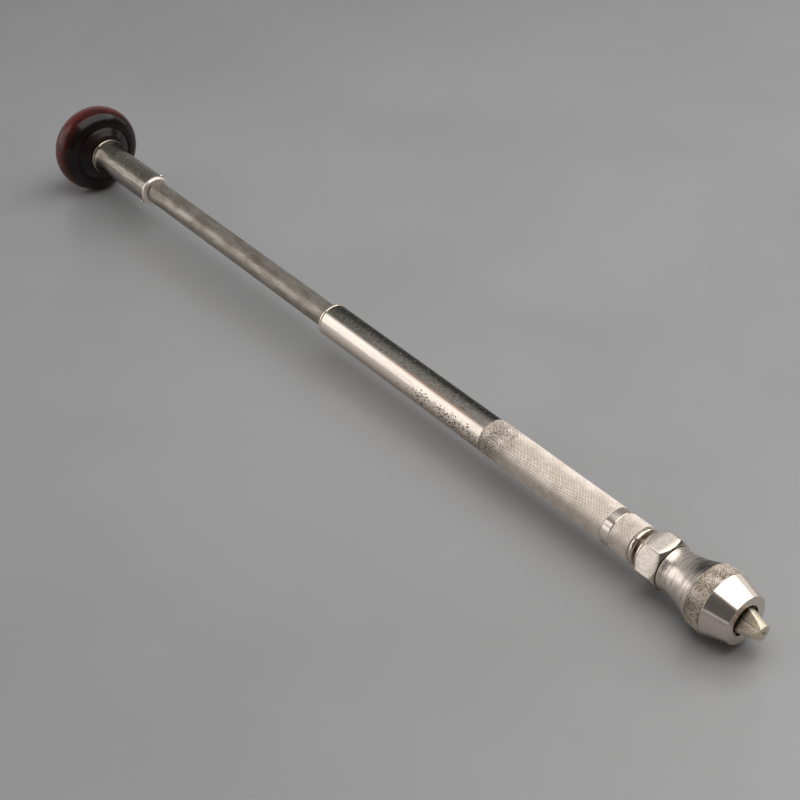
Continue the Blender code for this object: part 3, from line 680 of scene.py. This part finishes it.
def keyed(rows, sides):
    """Rows of which those at the bore's radius have the keyway."""
    bore = []
    for column in range(sides):
        away = abs((360.0 * column / sides - KEYWAY_ANGLE + 180.0) % 360.0 - 180.0)
        bore.append(KEYWAY_R if away <= KEYWAY_HALF_ANGLE else BORE_R)
    return [(station, bore if radius <= BORE_R else radius, wear) for station, radius, wear in rows]


def worn_height(station, turn):
    """How much of a diamond's height is left on the grip and on the bearing cap."""
    place = Vector((station * 0.25, 4 * math.cos(turn), 4 * math.sin(turn)))
    return 1.0 - 0.3 * max(0.0, noise.noise(place))


def build_barrel():
    """The barrel's tube with its keyed bore and front spigot, and the ring at its back."""
    _, barrel_back, barrel_r = span("barrel_tube")
    barrel_front = span("knurled_grip")[1] + SEAM
    outline = [(SPIGOT_FRONT, BORE_R), (SPIGOT_FRONT, SPIGOT_R), (barrel_front, SPIGOT_R)]
    outline += [(barrel_front, barrel_r), (barrel_back, barrel_r), (barrel_back, BORE_R)]
    sides = 240
    rows = keyed(soften(outline, [0, 0.2, 0, 0.12, 0.12, 0]), sides)
    add_turned("barrel_shell", rows, "barrel", "grip", "nickel_plate", "barrel_tube", sides=sides)

    front, back, cap_r = span("barrel_end_cap")
    hole_r = span("push_tube")[2] + 0.12
    step = barrel_back + SEAM
    outline = [(front, BORE_R - GAP), (step, BORE_R - GAP), (step, cap_r - 0.3), (barrel_back + 0.45, cap_r)]
    outline += [(back - 0.4, cap_r), (back, cap_r - 0.35), (back, 8.3), (back - 0.5, 7.7)]
    outline += [(back - 0.5, hole_r), (front, hole_r)]
    add_turned("end_cap_ring", soften(outline, 0.12), "ring", "grip", "nickel_plate", "barrel_end_cap")


def build_grip():
    """The knurled sleeve, and the bright band before it."""
    front, back, grip_r = span("knurled_grip")
    groove_r = grip_r - KNURL_DEPTH
    socket, socket_r = SPIGOT_FRONT - 0.2, SPIGOT_R + 0.15
    bearing_back, bearing_r = 94.6, 9.3
    before = [(front - 0.2, groove_r - 0.12), (front - 0.05, groove_r)]
    diamonds = knurl(front + 0.12, back - 0.15, lambda station: grip_r, GRIP_COLUMNS, worn_height)
    after = [(back - 0.1, groove_r, 0.5), (back, groove_r - 0.1, 0.5), (back, socket_r, 1.0)]
    after += [(socket, socket_r, 1.0), (socket, BORE_R, 1.0), (bearing_back, BORE_R, 1.0)]
    after += [(bearing_back, bearing_r, 1.0), (front - 0.2, bearing_r, 1.0)]
    mesh = turned_knurl("grip_sleeve", before, diamonds, keyed(after, 2 * GRIP_COLUMNS))
    add_piece("grip_sleeve", mesh, "grip", "grip", "knurled_nickel", "knurled_grip")

    front, back, band_r = span("polished_band")
    outline = [(front - 0.2, bearing_r), (front - 0.2, band_r - 0.12), (front + 0.1, band_r)]
    outline += [(back - 0.1, band_r), (back + 0.04, band_r - 0.12), (back + 0.04, bearing_r)]
    add_turned("bright_band", soften(outline, 0.08), "polished", "grip", "nickel_plate", "polished_band")


def build_bearing_cap():
    """The knurled cap over the bearing, bored in steps, and the lock ring before it."""
    cap_r = span("bearing_cap")[2]
    groove_r = cap_r - KNURL_DEPTH
    front, back = VISIBLE_RING_BACK + 0.35, span("polished_band")[0] - 0.26
    before = [(front - 0.25, 8.0), (front - 0.25, groove_r - 0.2)]
    diamonds = knurl(front, back - 0.15, lambda station: cap_r, GRIP_COLUMNS, worn_height)
    after = [(back - 0.05, groove_r, 0.4), (back, groove_r - 0.05, 0.4), (back, 9.0, 1.0), (94.0, 9.0, 1.0)]
    after += [(94.0, 8.3, 1.0), (80.3, 8.3, 1.0), (80.3, 6.7, 1.0), (68.5, 6.7, 1.0), (68.5, 8.0, 1.0)]
    mesh = turned_knurl("bearing_cap_knurl", before, diamonds, after)
    add_piece("bearing_cap_knurl", mesh, "cap", "grip", "knurled_nickel", "bearing_cap")

    front, back, ring_r = span("cap_lock_ring")
    seen = VISIBLE_RING_BACK
    outline = [(front, 4.6), (front, ring_r - 1.0), (front + 0.35, ring_r - 0.35), (front + 1.0, ring_r)]
    outline += [(seen - 0.7, ring_r), (seen - 0.2, ring_r - 0.3), (seen, ring_r - 0.6), (seen, 7.7)]
    outline += [(back, 7.7), (back, 4.6)]
    rows = soften(outline, [0, 0.3, 0.3, 0.4, 0.4, 0.2, 0.1, 0, 0, 0])
    add_turned("lock_ring", rows, "ring", "grip", "nickel_plate", "cap_lock_ring")


def hexagon_points(corner_r, round_r, steps=5, flat_steps=24):
    """The hexagon's section as (y, z) points, with rounded corners."""
    turns = [math.radians(HEX_ANGLE + 60 * index) for index in range(6)]
    corners = [Vector((corner_r * math.cos(turn), corner_r * math.sin(turn))) for turn in turns]
    points = []
    for index, corner in enumerate(corners):
        following = corners[(index + 1) % 6]
        before = (corners[index - 1] - corner).normalized()
        after = (following - corner).normalized()
        start, end = corner + before * round_r, corner + after * round_r
        points += curve(start, corner, end, steps)
        run = following - after * round_r - end
        for step in range(1, flat_steps):
            points.append(end + run * (0.5 - 0.5 * math.cos(math.pi * step / flat_steps)))
    return points


def build_hexagon():
    """The chuck body's hexagon, with chamfered ends and a washer face."""
    washer_back = span("chuck_body")[1]
    corner_r = HEX_ACROSS / math.sqrt(3)
    section = hexagon_points(corner_r, 0.5)
    cone_r = corner_r + 0.4
    front_cone = ((HEX_FRONT - 1.0, 10.8), (HEX_FRONT + 2.0, cone_r))
    back_cone = ((HEX_BACK - 3.2, cone_r), (HEX_BACK + 1.0, 10.5))
    soft, thin = 0.22, 0.15
    bore_r = 4.6

    def radius_on(cone, station):
        share = (station - cone[0][0]) / (cone[1][0] - cone[0][0])
        return cone[0][1] + share * (cone[1][1] - cone[0][1])

    def station_on(cone, radius):
        share = (radius - cone[0][1]) / (cone[1][1] - cone[0][1])
        return cone[0][0] + share * (cone[1][0] - cone[0][0])

    front_r = radius_on(front_cone, HEX_FRONT)
    back_r = radius_on(back_cone, HEX_BACK)

    def side(size):
        """Station, radius and wear all round a slice of the body where its section is size from the axis."""
        front, back = station_on(front_cone, size), station_on(back_cone, size)
        rows = [(HEX_FRONT, bore_r, 0), (HEX_FRONT, 9.4, 0), (HEX_FRONT, front_r - thin, 0)]
        rows += [(HEX_FRONT + 0.03, front_r, 1), (station_on(front_cone, front_r + thin), front_r + thin, 0)]
        rows += [(station_on(front_cone, size - soft), size - soft, 0), (front + 0.03, size - 0.03, 1)]
        rows.append((front + soft + 0.1, size, 0))
        flat = HEX_BACK - HEX_FRONT - 5.9
        rows += [(HEX_FRONT + 2.4 + flat * share, size, 0) for share in (0.15, 0.5, 0.85)]
        rows += [(back - soft - 0.1, size, 0), (back - 0.03, size - 0.03, 1)]
        rows.append((station_on(back_cone, size - soft), size - soft, 0))
        rows += [(station_on(back_cone, back_r + thin), back_r + thin, 0), (HEX_BACK, back_r, 1)]
        rows += [(HEX_BACK, 10.6, 0), (HEX_BACK + 0.15, 10.5, 0), (washer_back - 0.35, 10.5, 0)]
        rows += [(washer_back - 0.1, 10.42, 1), (washer_back, 10.15, 1), (washer_back, 9.9, 0)]
        return rows + [(washer_back, bore_r, 0)]

    corners, wear = [], []
    rings = list(zip(*(side(point.length) for point in section)))
    for ring in rings:
        for point, (station, radius, worn) in zip(section, ring):
            across = point.normalized() * radius * MM
            corners.append((-station * MM, across.x, across.y))
            wear.append(worn)
    mesh = make_mesh("chuck_hexagon", corners, bands(len(rings), len(section), True), wear, 25.0)
    add_piece("chuck_hexagon", mesh, "hexagon", "spindle", "nickel_plate", "chuck_body")


def build_stub():
    """The chuck body's threaded stub inside the shell, slotted for the jaws and with a socket behind them."""
    front, back = span("chuck_body")[0], HEX_FRONT - 0.02
    stub_r, thread_depth, pitch, pitch_steps = 8.7, 0.38, 1.6, 6
    plain, run_out_steps = 1.2, 4
    sides = 96
    rows = [(front, 0.0), (front, stub_r - 0.6), (front + 0.3, stub_r - 0.1)]
    steps = round((HEX_FRONT - plain - front - plain) / (pitch / pitch_steps))
    for index in range(steps + 1):
        station = front + plain + index * pitch / pitch_steps
        deep = thread_depth * min(1.0, index / run_out_steps, (steps - index) / run_out_steps)
        sizes = []
        for column in range(sides):
            phase = (station / pitch + column / sides) % 1.0
            rise = min(1.0, max(0.0, 2.4 * abs(2 * phase - 1) - 0.7))
            sizes.append(stub_r - deep * (1 - rise))
        rows.append((station, sizes))
    rows += [(HEX_FRONT - 0.7, stub_r), (back, stub_r), (back, 0.0)]
    stub = turned("chuck_stub", rows, sides)
    slot = box_mesh("jaw_slot", front - 2, 28.6, 24.0, 2 * JAW_HALF_WIDTH + 2 * GAP, JAW_ANGLE)
    socket = turned("stub_socket", [(26.0, 0.0), (26.0, 3.4), (42.0, 3.4), (42.0, 0.0)], 48)
    add_piece("chuck_stub", cut(stub, slot, socket), "steel", "spindle", "nickel_plate")


def build_shell():
    """The chuck's outer shell in three bodies of one piece: nose cone, knurled band and long hollow neck."""
    _, back, shell_r = span("chuck_shell")
    band_front, band_back, neck_back = 12.8, 22.8, 40.5
    band_r = shell_r * FACET
    nose_r, mouth_r, neck_r, inner_r, neck_inner_r = 12.65, 8.0, 11.2, 12.0, 9.0
    neck_rise = band_r - 0.65 - 0.22 - neck_r
    neck_steps = 40
    cone_rise = (band_r - nose_r) / band_front

    def band_at(station):
        share = (station - band_front) / (band_back - band_front)
        return band_r - 0.1 * share - 0.55 * share**2.4

    def height_at(station, turn):
        place = Vector((station * 0.35, 5 * math.cos(turn), 5 * math.sin(turn)))
        return 1.0 - 0.55 * max(0.0, noise.noise(place) + 0.12) - 0.1 * random.random()

    random.seed(7)
    before = [(0.3, mouth_r), (0.08, mouth_r + 0.08, 0.6), (0.0, mouth_r + 0.3), (0.0, mouth_r + 0.5)]
    before += [(0.0, nose_r - 0.3), (0.0, nose_r - 0.12), (0.05, nose_r - 0.02, 0.6), (0.2, nose_r + 0.05)]
    before.append((0.4, nose_r + 0.05 + 0.2 * cone_rise))
    for station in (3.0, 6.5, 10.0, band_front - 0.36):
        before.append((station, nose_r + (band_r - 0.02 - nose_r) * station / band_front))
    before += [(band_front - 0.12, band_r - 0.08, 1.0), (band_front + 0.02, band_r - 0.1, 1.0)]
    before.append((band_front + 0.14, band_r - 0.18, 1.0))
    diamonds = knurl(band_front + 0.3, band_back - 0.2, band_at, 98, height_at)
    neck = []
    for index in range(neck_steps + 1):
        share = index / neck_steps
        station = band_back + (neck_back - band_back) * share
        neck.append((station, neck_r + neck_rise * (1 - share) ** 1.7))
    lip = [(neck_back + 1.5, neck_r + 0.04), (back - 0.7, neck_r + 0.18), (back - 0.3, neck_r + 0.2)]
    lip += [(back - 0.08, neck_r + 0.12, 1.0), (back, neck_r - 0.1, 1.0), (back, neck_r - 0.3)]
    inside = [(back, neck_inner_r + 0.2), (back - 0.3, neck_inner_r), (22.0, neck_inner_r), (16.0, inner_r)]
    inside += [(1.9, inner_r), (1.6, inner_r - 0.2), (1.6, mouth_r)]
    mesh = turned_knurl("shell_body", before, diamonds, neck + lip + inside)
    for look in ("shell", "band", "neck"):
        mesh.materials.append(LOOKS[look])
    for face in mesh.polygons:
        station = -sum(mesh.vertices[corner].co.x for corner in face.vertices) / len(face.vertices) / MM
        outside = mesh.vertices[face.vertices[0]].co.yz.length / MM > neck_r - 0.5
        if outside and band_front + 0.28 < station < band_back - 0.15:
            face.material_index = 1
        elif outside and station > band_back - 0.15:
            face.material_index = 2
    add_piece("shell_body", mesh, None, "shell", "nickel_plate", "chuck_shell")


def jaw_cone_r(station):
    return JAW_TIP_R + (station - JAW_TIP) * JAW_RAMP


def jaw_section(radius, inset):
    """Points round a jaw's section, as (along the opening, across it). It is half a circle with flat sides,
    rounded edges and a groove for the bit."""
    size = radius - inset
    width = min(JAW_HALF_WIDTH - inset, 0.97 * size)
    base = 0.08 + inset
    groove_r, groove_steps, arc_steps = 1.0, 8, 26
    soft = 0.14
    side_at = math.sqrt(max(0.01, size**2 - width**2))
    turn_at = math.asin(width / size)
    points = []
    for step in range(groove_steps + 1):
        turn = math.radians(-82 + 164 * step / groove_steps)
        deep = max(0.0, math.cos(turn))
        points.append((base + groove_r * deep - 0.02, (groove_r + inset) * math.sin(turn)))
    side = [(base, groove_r + inset + 0.1), (base, width - 3 * soft), (base, width - soft)]
    side += [(base + 0.3 * soft, width - 0.3 * soft), (base + soft, width)]
    side += [(base + (side_at - base) * share, width) for share in (0.3, 0.6)]
    corner = turn_at - 0.25 * soft / size
    side += [(side_at - soft, width), (size * math.cos(corner) - 0.02, width - 0.02)]
    points += side
    last = turn_at - soft / size
    for step in range(arc_steps + 1):
        turn = last - 2 * last * step / arc_steps
        points.append((size * math.cos(turn), size * math.sin(turn)))
    return points + [(along, -across) for along, across in reversed(side)]


def jaw_mesh(name, angle):
    """Half of a cone that ends in a plain shank, with a pocket for the spring."""
    tip, tail_back, _ = span(name)
    shoulder, shank, tail, tail_r = 7.6, 11.0, 13.3, 6.6
    slices = [(tip, jaw_cone_r(tip), 0.16), (tip + 0.05, jaw_cone_r(tip), 0.05)]
    for station in (tip + 0.16, tip + 0.4, -9.2, -8.6, -8.0, -7.0, -5.5, -4.0, 0.0, 4.0, shoulder - 0.1):
        slices.append((station, jaw_cone_r(station), 0.0))
    slices += [(station, jaw_cone_r(shoulder), 0.0) for station in (shoulder + 0.1, shank)]
    slices += [(tail, tail_r, 0.0), (tail_back, tail_r, 0.0)]
    corners = []
    turn = math.radians(angle)
    for station, radius, inset in slices:
        for along, across in jaw_section(radius, inset):
            y = along * math.cos(turn) - across * math.sin(turn)
            z = along * math.sin(turn) + across * math.cos(turn)
            corners.append((-station * MM, y * MM, z * MM))
    sides = len(corners) // len(slices)
    faces = bands(len(slices), sides)
    faces.append(tuple(range(sides)))
    faces.append(tuple(reversed(range(len(corners) - sides, len(corners)))))
    mesh = make_mesh(f"{name}_steel", corners, faces, None, 25.0)
    return cut(mesh, solid_rod(f"{name}_pocket", 20.0, 1.9, 2.75, 0.1, angle, 32))


def build_jaws():
    """The two jaws, and the ring that closes on their cones."""
    for name, angle in (("jaw_a", JAW_ANGLE), ("jaw_b", JAW_ANGLE + 180.0)):
        add_piece(f"{name}_steel", jaw_mesh(name, angle), "jaw", name, "bare_steel", name)
    front, back, ring_r = span("jaw_closing_ring")
    front_r, back_r = jaw_cone_r(front) + GAP, jaw_cone_r(back) + GAP
    rows = soften([(front, front_r), (front, ring_r), (back, ring_r), (back, back_r)], 0.3)
    mesh = turned("closing_ring_steel", rows, 128)
    add_piece("closing_ring_steel", mesh, "steel", "closing_ring", "bare_steel", "jaw_closing_ring")


def build_push():
    """The sliding tube, its collar and the pin through the collar."""
    front, back, _ = span("push_tube")
    piston, piston_r = 288.3, 6.7
    step, bore_r, wide_bore_r = 300.3, 5.4, 6.0
    outline = [(front, wide_bore_r), (front, piston_r), (piston, piston_r), (piston, TUBE_R)]
    outline += [(back, TUBE_R), (back, bore_r), (step, bore_r), (step, wide_bore_r)]
    rows = soften(outline, [0, 0, 0, 0.2, 0.1, 0, 0, 0])
    add_turned("slide_tube", rows, "tube", "push", "bare_steel", "push_tube")

    front, back, collar_r = span("head_collar")
    bore_r = TUBE_R + 0.06
    nose_r = 2.5
    rounding = arc((front + nose_r, collar_r - nose_r), (nose_r, nose_r), 205, 90, 16)
    rows = [(front + 2.4, bore_r), (front + 1.2, rounding[0][1] - 0.25), *rounding]
    rows += [(front + nose_r + 0.4, collar_r), (back - 0.3, collar_r), (back - 0.12, collar_r)]
    rows += [(back - 0.02, collar_r - 0.05, 1.0), (back + 0.06, collar_r - 0.2)]
    rows += [(back + 0.06, bore_r), (back - 0.3, bore_r)]
    mesh = cut(turned("collar", rows), solid_rod("pin_hole", PIN_STATION, 1.32, 14.0, 0.1, PIN_ANGLE))
    add_piece("collar", mesh, "collar", "push", "nickel_plate", "head_collar")
    pin = solid_rod("collar_pin", PIN_STATION, 1.25, span("cross_pin")[2], 0.75, PIN_ANGLE)
    add_piece("collar_pin", pin, "polished", "push", "bare_steel", "cross_pin")


def build_ferrule():
    """The ferrule's sleeve, which widens through a cove to a flange, with a spigot inside the knob."""
    front, _, flange_r = span("ferrule")
    front -= 0.2
    sleeve_r = 9.9
    cove_front, cove_back, flange_back = 551.0, 565.0, 566.5
    spigot_r, spigot_back, bore_r, narrow_r, narrow_back = 8.2, 582.0, 6.6, 5.2, 557.1
    lip = flange_r - 0.55
    rows = [(front + 0.3, narrow_r), (front, narrow_r + 0.2), (front, sleeve_r - 0.2)]
    rows += [(front + 0.06, sleeve_r - 0.05, 1.0), (front + 0.18, sleeve_r), (front + 0.35, sleeve_r)]
    rows += [(station, sleeve_r) for station in (520.0, 535.0, cove_front - 2.0)]
    cove_size = (cove_back - cove_front, flange_r - sleeve_r - 0.3)
    rows += arc((cove_front, flange_r - 0.3), cove_size, 270, 350, 14)
    rows += [(cove_back - 0.55, lip), (cove_back - 0.35, lip + 0.05, 1.0)]
    rows += [(cove_back + 0.1, flange_r - 0.12, 1.0), (cove_back + 0.35, flange_r, 1.0)]
    rows += [(flange_back - 0.3, flange_r, 1.0), (flange_back, flange_r - 0.25, 1.0)]
    rows += [(flange_back, spigot_r), (spigot_back, spigot_r), (spigot_back, bore_r)]
    rows += [(narrow_back, bore_r), (narrow_back, narrow_r)]
    add_turned("ferrule_sleeve", rows, "ferrule", "head", "nickel_plate", "ferrule")


def build_knob():
    """The knob: a round back, a hollowed face, and in its middle a raised disc the ferrule sits in."""
    front, back, knob_r = span("knob")
    knob_r *= FACET
    rim = 582.5
    seat, seat_r = front - 0.22, span("ferrule")[2]
    disc_back, disc_r = front + 4.2, 18.4
    lip, lip_r = disc_back - 0.3, 19.0
    bore_back, bore_r = 584.0, 8.5
    rows = [(seat, bore_r), (seat, seat_r + 0.4), (seat + 0.1, seat_r + 0.75), (seat + 1.2, seat_r + 2.2)]
    rows += [(disc_back - 1.2, disc_r - 1.5), (disc_back - 0.35, disc_r - 0.35)]
    rows += [(disc_back - 0.05, disc_r - 0.02, 1.0), (disc_back + 0.03, disc_r + 0.12)]
    rows += [(disc_back, disc_r + 0.26), (disc_back - 0.12, disc_r + 0.42)]
    rows += arc((rim, lip_r), (rim - lip, knob_r - lip_r), 180, 90, 40)
    rows += arc((rim, 0), (back - rim, knob_r), 90, 0, 60)[1:-1]
    rows += [(back, 0.0), (bore_back, 0.0), (bore_back, bore_r)]
    add_turned("knob_wood", rows, "wood", "head", "rosewood", "knob", sides=256)


BRONZE_NODES = {"front_bush", "thrust_washer_front", "thrust_washer_rear", "piston_bush", "drive_nut"}
BRONZE_NODES |= {"swivel_bush", "head_washer"}


def dress_inner_nodes():
    """The CAD nodes that stay as they are, all inside the tool, get a working metal's look."""
    for name, node in frame["nodes"].items():
        if node.hide_render:
            continue
        look = LOOKS["bronze"] if name in BRONZE_NODES else LOOKS["steel"]
        if not node.data.materials:
            node.data.materials.append(look)
        for slot in node.material_slots:
            slot.link = "OBJECT"
            slot.material = look


build_barrel()
build_grip()
build_bearing_cap()
build_hexagon()
build_stub()
build_shell()
build_jaws()
build_push()
build_ferrule()
build_knob()
dress_inner_nodes()

# Stage ----------------------------------------------------------------------------------------------------


def build_floor():
    look = Look("floor_paint", metallic=0.0, roughness=0.3)
    cloud = look.noise(160.0, detail=4.0)
    look.colour = look.mix(look.fade(cloud, 0.3, 0.7), (0.40, 0.40, 0.404), (0.43, 0.43, 0.436))
    mesh = bpy.data.meshes.new("floor")
    reach = 6.0
    corners = [(-reach, -reach, 0), (reach, -reach, 0), (reach, reach, 0), (-reach, reach, 0)]
    mesh.from_pydata(corners, [], [(0, 1, 2, 3)])
    mesh.materials.append(look.finish())
    floor = bpy.data.objects.new("floor", mesh)
    bpy.context.collection.objects.link(floor)


def add_panel(name, place, aim, width, height, brightness, colour=(1.0, 1.0, 1.0)):
    """A soft rectangular lamp at place that faces aim. brightness is what a camera would read off it."""
    lamp = bpy.data.lights.new(name, "AREA")
    lamp.shape = "RECTANGLE"
    lamp.size = width
    lamp.size_y = height
    lamp.energy = brightness * math.pi * width * height
    lamp.color = colour
    item = bpy.data.objects.new(name, lamp)
    item.location = place
    item.rotation_euler = (Vector(aim) - Vector(place)).to_track_quat("-Z", "Y").to_euler()
    bpy.context.collection.objects.link(item)


def build_lights():
    """A large box of light overhead that reaches back past the tool, and a tall panel at its left."""
    add_panel("softbox", (0.22, 0.55, 1.0), (0.22, 0.5499, 0.0), 1.05, 2.1, 1.9, (1.0, 0.99, 0.98))
    azimuth = math.radians(-137)
    reach = 2.0
    out = Vector((math.cos(azimuth), math.sin(azimuth), 0)) * reach
    panels = (("upper", 0.62, 1.74, 1.2, 1.12), ("lower", 0.02, 0.6, 1.85, 1.02))
    for name, low, high, width, brightness in panels:
        middle = Vector((0.1, 0, (low + high) / 2))
        add_panel(f"left_{name}", out + middle, middle, width, high - low, brightness, (1.0, 0.98, 0.96))
    azimuth = math.radians(97)
    far = Vector((0.25 + 2.0 * math.cos(azimuth), 2.0 * math.sin(azimuth), 1.15))
    add_panel("right", far, (0.25, 0.0, 1.15), 0.75, 2.1, 0.75, (1.0, 0.98, 0.96))
    add_panel("low_strip", (0.1, -1.0, 0.02), (0.1, 0.0, 0.02), 0.9, 0.025, 1.6)

    world = bpy.data.worlds.new("room")
    world.use_nodes = True
    tree = world.node_tree
    bright_side = math.radians(175)
    sockets = {0: add_node(tree, "ShaderNodeTexCoord").outputs["Generated"]}
    sockets[1] = (math.cos(bright_side), math.sin(bright_side), 0.0)
    towards = add_node(tree, "ShaderNodeVectorMath", sockets, operation="DOT_PRODUCT").outputs["Value"]
    sockets = {"Value": towards, "From Min": 0.1, "From Max": 0.95, "To Min": 0.1, "To Max": 0.44}
    ramp = add_node(tree, "ShaderNodeMapRange", sockets, interpolation_type="SMOOTHSTEP")
    seen_by = add_node(tree, "ShaderNodeLightPath").outputs["Is Diffuse Ray"]
    strength = add_node(tree, "ShaderNodeMapRange", {"Value": seen_by, "To Min": 1.0, "To Max": 0.4})
    background = tree.nodes["Background"]
    plug(tree, background.inputs["Color"], ramp.outputs["Result"])
    plug(tree, background.inputs["Strength"], strength.outputs["Result"])
    bpy.context.scene.world = world


def build_camera():
    camera = bpy.data.cameras.new("camera")
    camera.lens = 70.3
    camera.sensor_width = 36.0
    item = bpy.data.objects.new("camera", camera)
    nose = TOOL.translation
    item.location = nose + Vector((0.3115, -0.4357, 0.4664))
    item.rotation_euler = (math.radians(90 - 34.195), 0.0, math.radians(52.051))
    bpy.context.collection.objects.link(item)
    bpy.context.scene.camera = item
    bpy.context.scene.view_settings.view_transform = "Standard"


build_floor()
build_lights()
build_camera()
